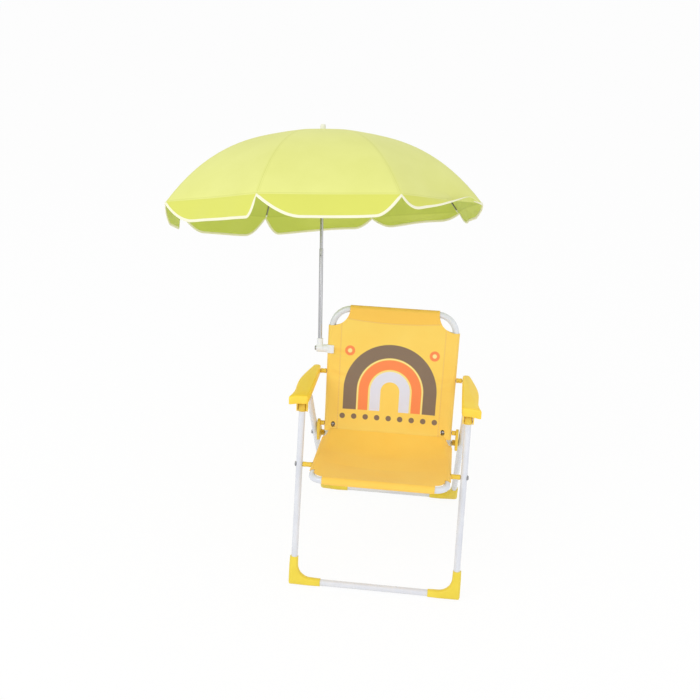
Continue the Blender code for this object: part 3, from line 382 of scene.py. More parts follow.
def tube(name, points, radius, resolution=6, radii=None, loop=False):
    """A round bar along the points, as a mesh; radii are shares of the radius, point by point."""
    bare()
    bpy.ops.curve.primitive_nurbs_path_add()
    made = bpy.context.object
    made.name = name
    path = made.data
    path.splines.clear()
    path.bevel_depth = radius
    path.bevel_resolution = resolution
    path.use_fill_caps = not loop
    run = path.splines.new("POLY")
    run.points.add(len(points) - 1)
    for n, (target, point) in enumerate(zip(run.points, points)):
        target.co = (*point, 1.0)
        target.radius = radii[n] if radii else 1.0
    run.use_cyclic_u = loop
    bpy.ops.object.convert(target="MESH")
    bpy.ops.object.mode_set(mode="EDIT")
    bpy.ops.mesh.select_all(action="SELECT")
    bpy.ops.mesh.remove_doubles(threshold=0.00001)
    face_out()
    return bpy.context.object


def lofted(name, rings, cap_first=True, cap_last=True):
    """A skin through rings of equal count: a circle that is extruded from ring to ring."""
    bare()
    count = len(rings[0])
    bpy.ops.mesh.primitive_circle_add(vertices=count, radius=1.0)
    made = bpy.context.object
    made.name = name
    for vert, point in zip(made.data.vertices, rings[0]):
        vert.co = point
    bpy.ops.object.mode_set(mode="EDIT")
    bpy.ops.mesh.select_all(action="SELECT")
    for ring in rings[1:]:
        bpy.ops.mesh.extrude_region_move()
        shell = bmesh.from_edit_mesh(made.data)
        order = sorted((vert for vert in shell.verts if vert.select), key=lambda vert: vert.index)
        for vert, point in zip(order, ring):
            vert.co = point
        bmesh.update_edit_mesh(made.data)
    if cap_last:
        bpy.ops.mesh.edge_face_add()
    if cap_first:
        bpy.ops.mesh.select_all(action="DESELECT")
        shell = bmesh.from_edit_mesh(made.data)
        shell.verts.ensure_lookup_table()
        for vert in list(shell.verts)[:count]:
            vert.select = True
        shell.select_flush_mode()
        bmesh.update_edit_mesh(made.data)
        bpy.ops.mesh.edge_face_add()
    face_out()
    return made


def turned(name, profile, sides=36):
    """A lathe-turned piece on Z; the profile is radius, height."""
    rings = []
    for radius, height in profile:
        rings.append([
            Vector((radius * math.cos(math.tau * n / sides), radius * math.sin(math.tau * n / sides), height))
            for n in range(sides)
        ])
    return lofted(name, rings, cap_first=profile[0][0] > 0, cap_last=profile[-1][0] > 0)


def across(point, side, x):
    """Lays a piece turned on Z along X, pointing outwards on its side."""
    return moved(side * x, point.y, point.z) @ spun(side * math.pi / 2, "Y")


def thicken(made, thick, offset, finishes):
    """Gives the cloth its thickness and, where they are given, each face its finish."""
    skin = made.modifiers.new("cloth", "SOLIDIFY")
    skin.thickness = thick
    skin.offset = offset
    for one in finishes:
        made.data.materials.append(one)
        skin.material_offset = 1
    bpy.ops.object.modifier_apply(modifier=skin.name)


def sheet(name, columns, rows, place, flat, keep=None):
    """Cloth from a grid: place gives a point and flat its measure for shares of 0 to 1 across and down."""
    bare()
    bpy.ops.mesh.primitive_grid_add(x_subdivisions=columns, y_subdivisions=rows, size=2.0)
    made = bpy.context.object
    made.name = name
    grid = {vert.index: ((vert.co.x + 1) / 2, (vert.co.y + 1) / 2) for vert in made.data.vertices}
    measure = made.data.uv_layers[0]
    measure.name = "cloth"
    for loop in made.data.loops:
        measure.data[loop.index].uv = flat(*grid[loop.vertex_index])
    for vert in made.data.vertices:
        vert.co = place(*grid[vert.index])
    if keep:
        bpy.ops.object.mode_set(mode="EDIT")
        bpy.ops.mesh.select_all(action="DESELECT")
        shell = bmesh.from_edit_mesh(made.data)
        for face in shell.faces:
            middle = [sum(grid[vert.index][k] for vert in face.verts) / len(face.verts) for k in (0, 1)]
            face.select_set(not keep(*middle))
        bmesh.update_edit_mesh(made.data)
        bpy.ops.mesh.delete(type="FACE")
        bpy.ops.object.mode_set(mode="OBJECT")
    return made


# White tube frames

rear_top = Q + UP_REAR * REAR_PAST_Q
leg_top, front_rail = leg_point(LEG_TOP), leg_point(0.0)
seat_end = Q + ALONG_SEAT * TUBE_END
back_end = C - UP_LEG * TUBE_END
for name, body, end, end_half, rail, rail_half, bend in (
    ("front_legs", "front_stand", leg_top, LEG_HALF_WIDTH, front_rail, LEG_HALF_WIDTH, LEG_BEND),
    ("rear_legs", "rear_stand", rear_top, rear_half(rear_top), R, REAR_HALF_WIDTH, LEG_BEND),
    ("seat_frame", "seat", seat_end, SEAT_HALF_WIDTH, SEAT_RAIL, SEAT_HALF_WIDTH, SEAT_BEND),
    ("back_frame", "back", back_end, BACK_HALF_LOW, BACK_TOP, BACK_HALF_TOP, BACK_BEND),
):
    # Two side tubes and the rail across them, from one tube with two bends
    corners = [at(end, -end_half), at(rail, -rail_half), at(rail, rail_half), at(end, end_half)]
    made = tube(name + "_tube", rounded(corners, bend), TUBE_RADIUS, resolution=7)
    settle(made, body, white_enamel, (name,))


# Slung cloth: wraps over a cross tube and both side tubes, and is sewn down behind them
SLEEVE = 0.0075
SEAM_IN = 0.020
WRAP = math.pi * SLEEVE
TAIL = 0.0245
TAIL_BEHIND = 0.0016


def sling_cloth(
    name, origin, along, front, half_of, length, sag, folds, cut_off, rows=120, rise=None, faces=(),
):
    """A sheet laid over the tubes; its flat measure is u from the middle and v from the cross tube."""
    side_reach = half_of(0.0) + WRAP + TAIL
    v_low = -(WRAP + TAIL)

    def surface(x, v, n):
        point = origin + along * v + front * n
        return Vector((x, point.y, point.z))

    def hollow(x, v):
        share = x / half_of(v)
        ease = min(1.0, max(0.0, v) / 0.075)
        return sag * (1 - share * share) * ease ** 0.8

    def wrapped(run, flat_n):
        """How far past the tube's middle, and in front of it, the cloth is after a run round it."""
        if run < WRAP:
            turn = run / SLEEVE
            return SLEEVE * math.sin(turn), SLEEVE * math.cos(turn)
        share = min(1.0, (run - WRAP) / TAIL)
        return -SEAM_IN * share, -SLEEVE + (flat_n - TAIL_BEHIND + SLEEVE) * share ** 1.4

    def place(a, b):
        u, v = flat(a, b)
        side = -1.0 if u < 0 else 1.0
        half = half_of(0.0)
        width = half_of(max(v, 0.0))
        x = abs(u) * width / half if abs(u) <= half else abs(u) - half + width
        if v < 0:
            past, n = wrapped(-v, SLEEVE - hollow(x, SEAM_IN) - folds(u, v))
            return surface(side * x, -past, n)
        if x <= width:
            lift = SLEEVE - hollow(x, v) - folds(u, v)
            if rise and v > rise[0]:
                climb = ((v - rise[0]) / (rise[1] - rise[0])) ** 2 * min(1.0, (1 - x / width) / 0.07)
                lift += (rise[2] - lift) * climb
            return surface(side * x, v, lift)
        past, n = wrapped(x - width, SLEEVE - hollow(width - SEAM_IN, v))
        return surface(side * (width + past), v, n)

    def flat(a, b):
        return ((2 * a - 1) * side_reach, v_low + (length - v_low) * b)

    def keep(a, b):
        u, v = flat(a, b)
        return not cut_off(abs(u) - half_of(0.0), v)

    made = sheet(name, 96, rows, place, flat, keep)
    thicken(made, 0.0009, 0.0, faces)
    face_out()
    return made


def round_corner(radius):
    """True well inside a round corner cut, so that the cutter only meets the cloth at its edge."""
    cut = radius * 0.7

    def inside(du, v):
        return v < 0 and du > -cut or du > 0 and v < cut or math.hypot(du, v) <= cut
    return inside


def slanted_corner(across_rail, along_side):
    def inside(du, v):
        return v < 0 and du > -across_rail * 0.6 or du > 0 and v < along_side * 0.6 \
            or v / along_side - du / across_rail <= 0.6
    return inside


def corner_cutters(origin, along, front, half, outline):
    """Takes both corners out of the cloth; the outline is in steps from the corner, out and down."""
    made = []
    for _, side in SIDES:
        made.append(lofted("corner_tool", [
            [at(origin, side * (half + du)) + along * dv + front * lift for du, dv in outline]
            for lift in (-0.04, 0.04)
        ]))
    return made


def rod(radius, depth, sides, matrix):
    bare()
    bpy.ops.mesh.primitive_cylinder_add(vertices=sides, radius=radius, depth=depth)
    made = bpy.context.object
    made.data.transform(matrix)
    return made


def bolt_window(point, side, x, radius, depth):
    return rod(radius, depth, 32, across(point, side, x))


def nut_window(x):
    """A hole through the front of the back's cloth where the lower bolt's nut shows."""
    turns = [math.tau * n / 32 for n in range(32)]
    outline = [(0.0044 * math.cos(turn), 0.0062 * math.sin(turn)) for turn in turns]
    rings = [[at(C, x + du) + UP_LEG * dv + BACK_FRONT * lift for du, dv in outline] for lift in (0.0, 0.03)]
    return lofted("nut_tool", rings)


def back_folds(u, v):
    """Small pulls beside the clamp and the armrest bolts, and a slack wave under the top hem."""
    lift = 0.0
    for side, at_v, deep in ((-1, 0.1385, 0.0026), (-1, 0.091, 0.0024), (1, 0.1385, 0.0014)):
        du = side * u - 0.112
        dv = (v - at_v) + du * 0.25
        lift += deep * math.exp(-(du / 0.022) ** 2) * math.cos(dv / 0.0042) * math.exp(-(dv / 0.014) ** 2)
    lift += 0.0006 * math.sin(u * 47 + v * 20) * math.exp(-((v - 0.03) / 0.018) ** 2)
    return lift


def seat_folds(u, v):
    return 0.0005 * math.sin(u * 38 + v * 31) * math.exp(-((v - 0.03) / 0.02) ** 2)


seat_length = 0.2002
rail_bare = 0.0225
seat_sheet = sling_cloth(
    "seat_cloth", SEAT_RAIL, ALONG_SEAT, SEAT_UP, lambda v: SEAT_HALF_WIDTH, seat_length, 0.011, seat_folds,
    slanted_corner(rail_bare, 0.0365), rise=(0.125, seat_length, 0.0245),
)
# The seat's corner cut follows the inside of the tube's bend
seat_cut = [(0.04, -0.04), (-rail_bare, -0.04)]
for n in range(13):
    turn = math.pi * n / 24
    seat_cut.append((-SEAT_BEND + 0.0178 * math.sin(turn), SEAT_BEND - 0.0178 * math.cos(turn)))
seat_cut += [(-0.0037, 0.0300), (0.04, 0.0300)]
tools = corner_cutters(SEAT_RAIL, ALONG_SEAT, SEAT_UP, SEAT_HALF_WIDTH, seat_cut)
tools += [bolt_window(P, side, SEAT_HALF_WIDTH, 0.0054, 0.017) for _, side in SIDES]
combine(seat_sheet, tools, "DIFFERENCE")
settle(seat_sheet, "seat", seat_cloth, ("seat_sling",), angle=60)


def printed_back():
    """The back's cloth with its sewn lines and a plain printed arch of coloured bands and dots."""
    made, look, shader, flat, body = cloth("back_cloth", "FAD76A", "F9D160", "F2C34D")
    u, v = look.parts(flat)

    def distance(middle_u, middle_v, source_u=u, stilted=False):
        du = look.less(source_u, middle_u)
        dv = look.less(v, middle_v)
        if stilted:
            dv = look.maths("MINIMUM", dv, 0.0)
        return look.maths("SQRT", look.plus(look.times(du, du), look.times(dv, dv)))

    wide = look.maths("ABSOLUTE", u)
    # Print: arch bands, a row of dots under it and one dot at each shoulder
    brown, orange, pale, straw = "84705F", "F98C54", "DEE0F2", "F5E79A"
    reach = distance(0.0, 0.167, stilted=True)
    above = look.between(v, 0.050, 0.209)
    for low, high, colour in (
        (0.070, 0.098, brown), (0.046, 0.066, orange), (0.020, 0.042, pale),
        (0.0670, 0.0692, straw), (0.0428, 0.0450, straw),
    ):
        body = look.two_tone(look.times(look.between(reach, low, high, 0.0004), above), body, colour)
    spacing = 0.0245
    step = look.maths("FLOOR", look.maths("DIVIDE", look.plus(u, spacing / 2), spacing))
    row = distance(0.0, 0.2235, look.less(u, look.times(step, spacing)))
    inside = look.between(wide, -0.01, 0.1103)
    body = look.two_tone(look.times(look.between(row, -1.0, 0.0058, 0.0004), inside), body, brown)
    for middle_u in (-0.088, 0.088):
        for radius, colour in ((0.0105, orange), (0.0045, straw)):
            dot = look.between(distance(middle_u, 0.086), -1.0, radius, 0.0004)
            body = look.two_tone(dot, body, colour)
    # Double cloth at the sleeves, painted darker at the top hem and down the sides as painted shade
    hem_line = look.plus(0.0215, look.times(look.less(0.0064, look.times(u, u)), 0.6))
    top = look.less(v, hem_line)
    body = look.two_tone(look.times(look.ranged(top, 1.0, 0.0, -0.0006, 0.0006), 0.75), body, "F9C350")
    side_line = look.less(wide, BACK_HALF_TOP - SEAM_IN)
    sleeve_shade_mask = look.times(look.ranged(side_line, 0.0, 1.0, -0.0004, 0.0004), 0.14)
    body = look.two_tone(sleeve_shade_mask, body, "F7BE50")
    # Thread lines, each with a painted shade along its sewn crease
    for line, run in ((top, u), (side_line, v)):
        dash = look.maths("FRACT", look.maths("DIVIDE", run, 0.0032))
        thread = look.times(look.between(line, -0.0005, 0.0005), look.between(dash, 0.15, 0.8, 0.08))
        # Painted shade: a darker band either side of each stitched line
        seam_shade_mask = look.between(line, -0.0011, 0.0011, 0.0006)
        body = look.two_tone(look.times(seam_shade_mask, 0.5), body, "DE9F35")
        body = look.two_tone(thread, body, "FBDD92")
    look.fill(shader, {"Base Color": body})
    return made


back_behind = cloth("back_cloth_behind", "F9D56C", "F7CF63", "EFC250")[0]
back_length = BACK_TO_BEND + BACK_BEND
corner = 0.036
back_sheet = sling_cloth(
    "back_cloth", BACK_TOP, -UP_LEG, BACK_FRONT, lambda v: back_half(back_length - v),
    back_length + 0.0140, 0.007, back_folds, round_corner(corner), rows=140,
    faces=(back_behind, printed_back()),
)
back_cut = [(0.05, -0.05), (-corner, -0.05)]
back_cut += [(-corner * math.cos(math.pi * n / 48), corner * math.sin(math.pi * n / 48)) for n in range(25)]
back_cut += [(0.05, corner)]
b_half = back_half((B - C).length)
c_half = back_half(0.0)
tools = corner_cutters(BACK_TOP, -UP_LEG, BACK_FRONT, BACK_HALF_TOP, back_cut)
tools += [bolt_window(B, side, b_half, 0.0034, 0.034) for _, side in SIDES]
tools += [bolt_window(C, side, c_half, 0.0034, 0.034) for _, side in SIDES]
tools += [nut_window(side * (c_half - 0.0108)) for _, side in SIDES]
combine(back_sheet, tools, "DIFFERENCE")
settle(back_sheet, "back", None, ("back_sling",), angle=60)


def joined(pieces):
    """One piece from several."""
    bare()
    for one in pieces:
        one.select_set(True)
    bpy.context.view_layer.objects.active = pieces[0]
    bpy.ops.object.join()
    return pieces[0]


# Feet: square-cornered sleeves over the four lower bends
def foot(name, body, side, half_width, up, corner, rise, spread=0.0):
    """The cap follows the bend inside and runs out to a square corner outside."""
    run = 0.054
    sides = 28
    squareness = 0.72
    inward = Vector((-side, 0.0, 0.0))
    behind = inward.cross(up).normalized() * (-side)
    path = rounded([
        at(corner, side * (half_width + spread)) + up * rise,
        at(corner, side * half_width),
        at(corner, side * (half_width - run)),
    ], LEG_BEND, 22)
    sole = (FOOT_RADIUS - 0.0072 * abs(up.y)) / up.z
    middle = at(corner, side * half_width)
    rings = []
    count = len(path)
    for n, point in enumerate(path):
        before = path[max(n - 1, 0)]
        after = path[min(n + 1, count - 1)]
        along = (after - before).normalized()
        inner = along.cross(behind).normalized()
        if inner.dot(inward + up) < 0:
            inner = -inner
        # Distance from the tube's middle to the square outline, going straight outwards
        away = -inner
        out = math.inf
        for wall, half in ((-inward, FOOT_RADIUS), (-up, sole)):
            if away.dot(wall) > 1e-4:
                out = min(out, (half - (point - middle).dot(wall)) / away.dot(wall))
        end = min(n, count - 1 - n)
        lip = 1.0 if end else 0.93
        ring = []
        for k in range(sides):
            turn = math.tau * k / sides
            c, s = (math.copysign(abs(one) ** squareness, one) for one in (math.cos(turn), math.sin(turn)))
            reach = FOOT_RADIUS - 0.0016 if c > 0 else out
            ring.append(point + (inner * (c * reach) + behind * (s * 0.0078)) * lip)
        rings.append(ring)
    made = lofted(name + "_cap", rings)
    return settle(made, body, foot_plastic, (name,), angle=35)


for side_name, side in SIDES:
    foot("front_foot_" + side_name, "front_stand", side, LEG_HALF_WIDTH, UP_LEG, leg_point(0.0), 0.050)
    rise = 0.040
    spread = rear_half(R + UP_REAR * rise) - REAR_HALF_WIDTH
    foot("rear_foot_" + side_name, "rear_stand", side, REAR_HALF_WIDTH, UP_REAR, R, rise, spread)


# Armrests: shells open underneath, with a rounded upper edge and a flared outer front corner
ARM_OUTLINE_SHARES = (
    (0.10, 0.000), (0.55, -0.012), (1.00, -0.045), (0.93, 0.055), (0.86, 0.170),
    (0.885, 0.330), (0.88, 0.480), (0.78, 0.640), (0.62, 0.800), (0.50, 0.910),
    (0.40, 0.985), (0.22, 1.000), (0.06, 0.988), (0.015, 0.960), (0.012, 0.900),
    (0.010, 0.800), (0.01, 0.600), (0.010, 0.350), (0.015, 0.150), (0.030, 0.040),
)


def smooth_loop(points, steps):
    made = []
    count = len(points)
    for n in range(count):
        p0, p1, p2, p3 = (points[(n + k - 1) % count] for k in range(4))
        for step in range(steps):
            t = step / steps
            made.append(0.5 * (
                2 * p1 + (p2 - p0) * t + (2 * p0 - 5 * p1 + 4 * p2 - p3) * t * t
                + (3 * p1 - p0 - 3 * p2 + p3) * t * t * t
            ))
    return made


def inset(points, depth):
    """The outline moved inwards; where a tight corner would cross itself, its points gather at a good one."""
    made = []
    count = len(points)
    for n in range(count):
        along = (points[(n + 1) % count] - points[n - 1]).normalized()
        made.append(points[n] + Vector((-along.y, along.x)) * depth)
    enough = depth * 0.93 - 1e-6
    good = [n for n in range(count) if min((made[n] - point).length for point in points) >= enough]
    return [made[min(good, key=lambda one: min(abs(one - n), count - abs(one - n)))] for n in range(count)]


arm_length = ARM_FRONT_REACH + A_TO_B + ARM_REAR_REACH
arm_outline = smooth_loop([
    Vector((ARM_INNER + ARM_WIDTH * u, arm_length * v - ARM_FRONT_REACH)) for u, v in ARM_OUTLINE_SHARES
], 4)


def lug(x):
    """A strap down from the armrest's top to the pin, round at its lower end."""
    wide = 0.0052
    turns = [math.pi * n / 12 for n in range(13)]
    outline = [Vector((0.0, -wide, ARM_TOP - 0.0012))]
    outline += [Vector((0.0, -wide * math.cos(turn), -A_UNDER - wide * math.sin(turn))) for turn in turns]
    outline += [Vector((0.0, wide, ARM_TOP - 0.0012))]
    return lofted("lug", [[at(point, x + depth) for point in outline] for depth in (0.0, 0.0022)])


def level(outline, height):
    return [Vector((point.x, point.y, height)) for point in outline]


for side_name, side in SIDES:
    edge = 0.0036
    steps = [
        (0.0021, ARM_TOP - 0.0022), (0.0019, -ARM_BOTTOM + 0.0006), (0.0012, -ARM_BOTTOM),
        (0.0005, -ARM_BOTTOM), (0.0, -ARM_BOTTOM + 0.0008),
    ]
    for n in range(6):
        turn = math.pi / 2 * n / 5
        steps.append((edge * (1 - math.cos(turn)), ARM_TOP - edge + edge * math.sin(turn)))
    steps.append((edge + 0.0012, ARM_TOP + 0.0002))
    rings = [level(inset(arm_outline, depth), height) for depth, height in steps]
    made = lofted("armrest_" + side_name + "_shell", rings)
    bpy.ops.object.mode_set(mode="EDIT")
    bpy.ops.mesh.select_all(action="SELECT")
    bpy.ops.mesh.remove_doubles(threshold=0.00002)
    bpy.ops.mesh.dissolve_degenerate(threshold=0.00002)
    bpy.ops.object.mode_set(mode="OBJECT")
    made = joined([made, lug(LEG_HALF_WIDTH - 0.0108), lug(LEG_HALF_WIDTH + 0.0086)])
    if side < 0:
        made.data.transform(Matrix.Diagonal((-1.0, 1.0, 1.0, 1.0)))
        made.data.flip_normals()
    settle(made, "arm_" + side_name, arm_plastic, ("armrest_" + side_name,), ON_ARM, angle=32)
    pin = turned("pin_a_turned", [(0.0010, 0.0), (0.0020, 0.0003), (0.0020, 0.0201), (0.0010, 0.0204)], 24)
    pin_place = across(A, side, LEG_HALF_WIDTH - 0.0102)
    settle(pin, "front_stand", bolt_steel, ("pin_a_" + side_name,), pin_place)


# Collars under the armrests, bolts, nuts and spacers
for side_name, side in SIDES:
    on_leg = moved(*leg_point(LEG_TOP, side * LEG_HALF_WIDTH)) @ spun(-LEG_LEAN, "X")
    collar = turned("leg_collar_" + side_name + "_cap", [
        (0.0071, -0.0135), (0.0076, -0.0135), (0.0080, -0.0130),
        (0.0080, 0.0004), (0.0074, 0.0014), (0.0062, 0.0016),
    ])
    settle(collar, "front_stand", fitting_plastic, ("leg_collar_" + side_name,), on_leg)


def bolt_piece(name, point, side, inner, head, body, nut_radius, nut_length, domed):
    """A nut at the inner end, the shank, and a low domed head outside; a domed nut has a headless shank."""
    length = head - inner
    if domed:
        profile = [(0.0008, -nut_length)]
        for n in range(1, 7):
            turn = math.pi / 2 * n / 6
            profile.append((nut_radius * 0.92 * math.sin(turn), -nut_length * (0.45 + 0.55 * math.cos(turn))))
    else:
        profile = [
            (nut_radius * 0.55, -nut_length), (nut_radius * 0.9, -nut_length + 0.0006),
            (nut_radius, -nut_length + 0.0014),
        ]
    profile += [(nut_radius, 0.0), (0.0022, 0.0002), (0.0022, length)]
    if not domed:
        profile += [(radius, length + out) for radius, out in (
            (0.0052, 0.0), (0.0052, 0.0006), (0.0043, 0.0007),
            (0.0041, 0.0016), (0.0030, 0.0024), (0.0012, 0.0026),
        )]
    made = turned(name + "_turned", profile, 24)
    return settle(made, body, bolt_steel, (name,), across(point, side, inner))


def spacer_piece(name, point, side, inner, outer, body):
    length = outer - inner
    made = turned(name + "_ring", [
        (0.0026, 0.0), (0.0044, 0.0), (0.0050, 0.0006), (0.0050, length * 0.3), (0.0047, length * 0.36),
        (0.0047, length * 0.64), (0.0050, length * 0.7), (0.0050, length - 0.0006),
        (0.0044, length), (0.0026, length),
    ], 32)
    return settle(made, body, fitting_plastic, (name,), across(point, side, inner))


plain_nut = (0.0048, 0.003)
cap_nut = (0.0046, 0.0066)
for side_name, side in SIDES:
    wall = TUBE_RADIUS + 0.0003
    sleeve = SLEEVE + 0.0007
    seat_in = SEAT_HALF_WIDTH - wall
    for name, point, inner, head, body, nut in (
        ("bolt_p_", P, seat_in, LEG_HALF_WIDTH + wall, "front_stand", plain_nut),
        ("bolt_q_", Q, seat_in, rear_half(Q) + wall, "seat", plain_nut),
        ("bolt_c_", C, c_half - sleeve, PLATE_OUTER - 0.0006, "seat", cap_nut),
        ("bolt_b_", B, b_half - sleeve, ARM_INNER + 0.0032, "back", plain_nut),
    ):
        bolt_piece(name + side_name, point, side, inner, head, body, *nut, domed=nut == cap_nut)
    for name, point, inner, outer, body in (
        ("spacer_p_", P, SEAT_HALF_WIDTH + wall, LEG_HALF_WIDTH - wall, "front_stand"),
        ("spacer_c_", C, c_half + sleeve, PLATE_INNER - 0.0003, "seat"),
        ("spacer_b_", B, b_half + sleeve, ARM_INNER - 0.0003, "back"),
    ):
        spacer_piece(name + side_name, point, side, inner, outer, body)


# Hinge plates: rounded straps outside the seat tubes
def plate_outline(radius):
    """Round ends at the two bolts and the peg, joined by straight flanks."""
    peg = Q - ALONG_SEAT * 0.0240
    centres = [(Q, radius), (peg, radius - 0.0011), (C, radius)]
    flat = [((point.y, point.z), r) for point, r in centres]
    support = []
    for n in range(96):
        turn = math.tau * n / 96
        ray = (math.cos(turn), math.sin(turn))
        best = max(flat, key=lambda one: one[0][0] * ray[0] + one[0][1] * ray[1] + one[1])
        support.append(Vector((0.0, best[0][0] + ray[0] * best[1], best[0][1] + ray[1] * best[1])))
    return support


for side_name, side in SIDES:
    wide = 0.0085
    soft = 0.0010
    made = lofted("hinge_plate_" + side_name + "_strap", [
        [at(point, side * x) for point in plate_outline(radius)] for radius, x in (
            (wide - soft, PLATE_INNER), (wide, PLATE_INNER + soft), (wide, PLATE_OUTER - soft),
            (wide - soft * 0.3, PLATE_OUTER - soft * 0.3), (wide - soft, PLATE_OUTER),
        )
    ])
    boss = turned("boss", [
        (0.0026, 0.0), (0.0056, 0.0), (0.0062, 0.0006), (0.0062, 0.0064), (0.0026, 0.0064),
    ], 32)
    boss.data.transform(across(Q, side, PLATE_INNER - 0.0062))
    made = joined([made, boss])
    settle(made, "seat", fitting_plastic, ("hinge_plate_" + side_name,), angle=35)


# Parasol: eight gores of one cloth over the ribs, each with its scalloped edge and bound hem
def dome_z(radius):
    square = (radius / CANOPY_RADIUS) ** 2
    return DOME_TOP - RIM_DROP * ((1 - SHOULDER) * square + SHOULDER * square * square)


def shaded_canopy_cloth(name, light, deep, lower, thread):
    """Thin woven cloth of the parasol; the hanging edge takes a painted shade tone of its own (darker
    outside, a little lighter inside), the seams are stitched.
    """
    made, look, shader, flat, body = cloth(name, light, deep, thread, 0.0012)
    u, v = look.parts(flat)
    edge = look.less(v, CANOPY_RADIUS)
    # Painted shade and light: the hanging edge takes the lower colour, standing in for the light falling on
    # it differently from the dome
    body = look.two_tone(look.ranged(edge, 0.0, 1.0, -0.0006, 0.0006), body, lower)
    wide = look.maths("ABSOLUTE", u)
    on_dome = look.ranged(edge, 1.0, 0.0, -0.004, -0.003)
    seam = look.times(look.between(wide, -1.0, 0.0007, 0.0004), on_dome)
    fold = look.times(look.between(wide, 0.0026, 0.0034, 0.0004), on_dome)
    line = look.between(edge, -0.0024, -0.0014, 0.0004)
    for stitched, depth in ((seam, 0.45), (fold, 0.30), (line, 0.35)):
        body = look.two_tone(look.times(stitched, depth), body, thread)
    look.fill(shader, {"Base Color": body})
    return made


canopy_outside = shaded_canopy_cloth("canopy_outside", "E6E98A", "E2E583", "DADD64", "C7CB58")
# The inside is the cloth's reverse, given darker colours than the outside as painted shade under the dome
canopy_inside_shaded = shaded_canopy_cloth("canopy_inside_shaded", "D0DD63", "CAD75E", "D6E16C", "B7C253")
binding = cloth("bias_binding", "F6F4DA", "F2F0D2", "E4E1BE", 0.0009)[0]
GORE = math.tau / 8
DROP = 0.0375


def lobe(turn, middle, spread):
    """1 in one direction from the pole, falling off to either side."""
    away = math.atan2(math.sin(turn - middle), math.cos(turn - middle))
    return math.exp(-((away / spread) ** 2))


# How much longer or shorter the edge hangs, by direction from the pole, and how wide that reaches
HEM_SHARES = (
    (-0.35, -0.85, 0.20), (-0.35, 0.10, 0.30), (-0.60, 0.78, 0.40), (-0.35, 1.50, 0.45), (0.14, 2.40, 0.40),
)
# How far along the gore the hanging edge reaches its full drop, by rib and side of it
REACH_SHARES = {
    (0, 1): 0.30, (1, -1): 0.09, (1, 1): 0.30, (2, -1): 0.17, (2, 1): 0.20, (5, 1): 0.16, (6, -1): 0.12,
}
USUAL_REACH_SHARE = 0.24
HEM_START = 0.0035


def full(share, reach):
    """How much of its drop the hanging edge has, from a rib towards the middle of a gore."""
    return 1 - (1 - min(1.0, share / reach)) ** 1.9


def gore_place(n, middle):
    """A point of the gore round one rib, from its angle off the rib and its run down the cloth."""
    def place(offset, run, hang):
        part = abs(offset) / GORE
        slack = math.sin(math.pi * part)
        turn = middle + offset
        radius = run * (1 - 0.095 * slack * (run / CANOPY_RADIUS) ** 0.7)
        height = dome_z(run)
        lifted = lobe(turn, -0.42, 0.30)
        longer = 1 - 1.25 * lifted
        for share, towards, spread in HEM_SHARES:
            longer += share * lobe(turn, towards, spread)
        reach = REACH_SHARES.get((n, 1 if offset > 0 else -1), USUAL_REACH_SHARE)
        drop = HEM_START + DROP * full(part, reach) * longer
        if hang > 0:
            wave = 0.0024 * math.sin(16 * turn + 2 * math.sin(3 * turn)) * hang
            flare = 0.0085 + 0.0150 * lifted - 0.0080 * lobe(turn, math.pi, 0.8)
            radius += (0.0015 + flare * slack) * math.sin(math.pi / 2 * hang) + wave * slack
            height -= drop * hang
        return Vector((radius * math.cos(turn), radius * math.sin(turn), height))
    return place


def gore(n):
    """One gore and its binding, with the area of its cloth."""
    middle = rib_turn(n)
    place = gore_place(n, middle)
    rows_dome, rows_edge = 22, 8
    rows = rows_dome + rows_edge

    def measure(a, b):
        row = b * rows
        run = 0.005 + (CANOPY_RADIUS - 0.005) * min(1.0, row / rows_dome)
        hang = max(0.0, row - rows_dome) / rows_edge
        return (a - 0.5) * GORE, run, hang

    def spot(a, b):
        return place(*measure(a, b))

    def flat(a, b):
        offset, run, hang = measure(a, b)
        drop = HEM_START + DROP * full(abs(offset) / GORE, USUAL_REACH_SHARE)
        return offset * run, run + hang * drop

    columns = 30
    made = sheet(f"gore_{n + 1}", columns, rows, spot, flat)
    area = sum(face.area for face in made.data.polygons)
    up = sum(face.normal.z * face.area for face in made.data.polygons)
    if up < 0:
        made.data.flip_normals()
    thicken(made, 0.0008, -1.0, (canopy_outside, canopy_inside_shaded))
    # The hem's binding, folded over the cut edge
    rings = []
    steps = columns * 2
    for k in range(steps + 1):
        offset = (k / steps - 0.5) * GORE
        point = place(offset, CANOPY_RADIUS, 1.0)
        above = place(offset, CANOPY_RADIUS, 0.5)
        step = 0.004 * GORE
        after = place(min(offset + step, GORE / 2), CANOPY_RADIUS, 1.0)
        before = place(max(offset - step, -GORE / 2), CANOPY_RADIUS, 1.0)
        along = (after - before).normalized()
        if abs(offset) < step:
            along = outwards(middle)[1]
        rise = above - point
        rise = (rise - along * rise.dot(along)).normalized()
        face = along.cross(rise).normalized()
        centre = point + rise * 0.0020
        turns = [math.tau * j / 10 for j in range(10)]
        rings.append([
            centre + rise * 0.0027 * math.cos(turn) + face * 0.0011 * math.sin(turn) for turn in turns
        ])
    hem = lofted("binding", rings)
    return made, hem, area


def rib_turn(n):
    return CANOPY_TURN + math.pi + (n + 0.5) * GORE


def outwards(turn):
    """The direction away from the pole and the one to its left."""
    return Vector((math.cos(turn), math.sin(turn), 0.0)), Vector((-math.sin(turn), math.cos(turn), 0.0))


for n in range(8):
    made, hem, area = gore(n)
    body = f"rib_{n + 1}"
    out, aside = outwards(rib_turn(n))
    hem.name = f"gore_{n + 1}_binding"
    settle(made, body, None, ("canopy",) if n == 0 else (), ON_CANOPY, 60)
    settle(hem, body, binding, (), ON_CANOPY, 60)
    for one in (made, hem):
        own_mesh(one)


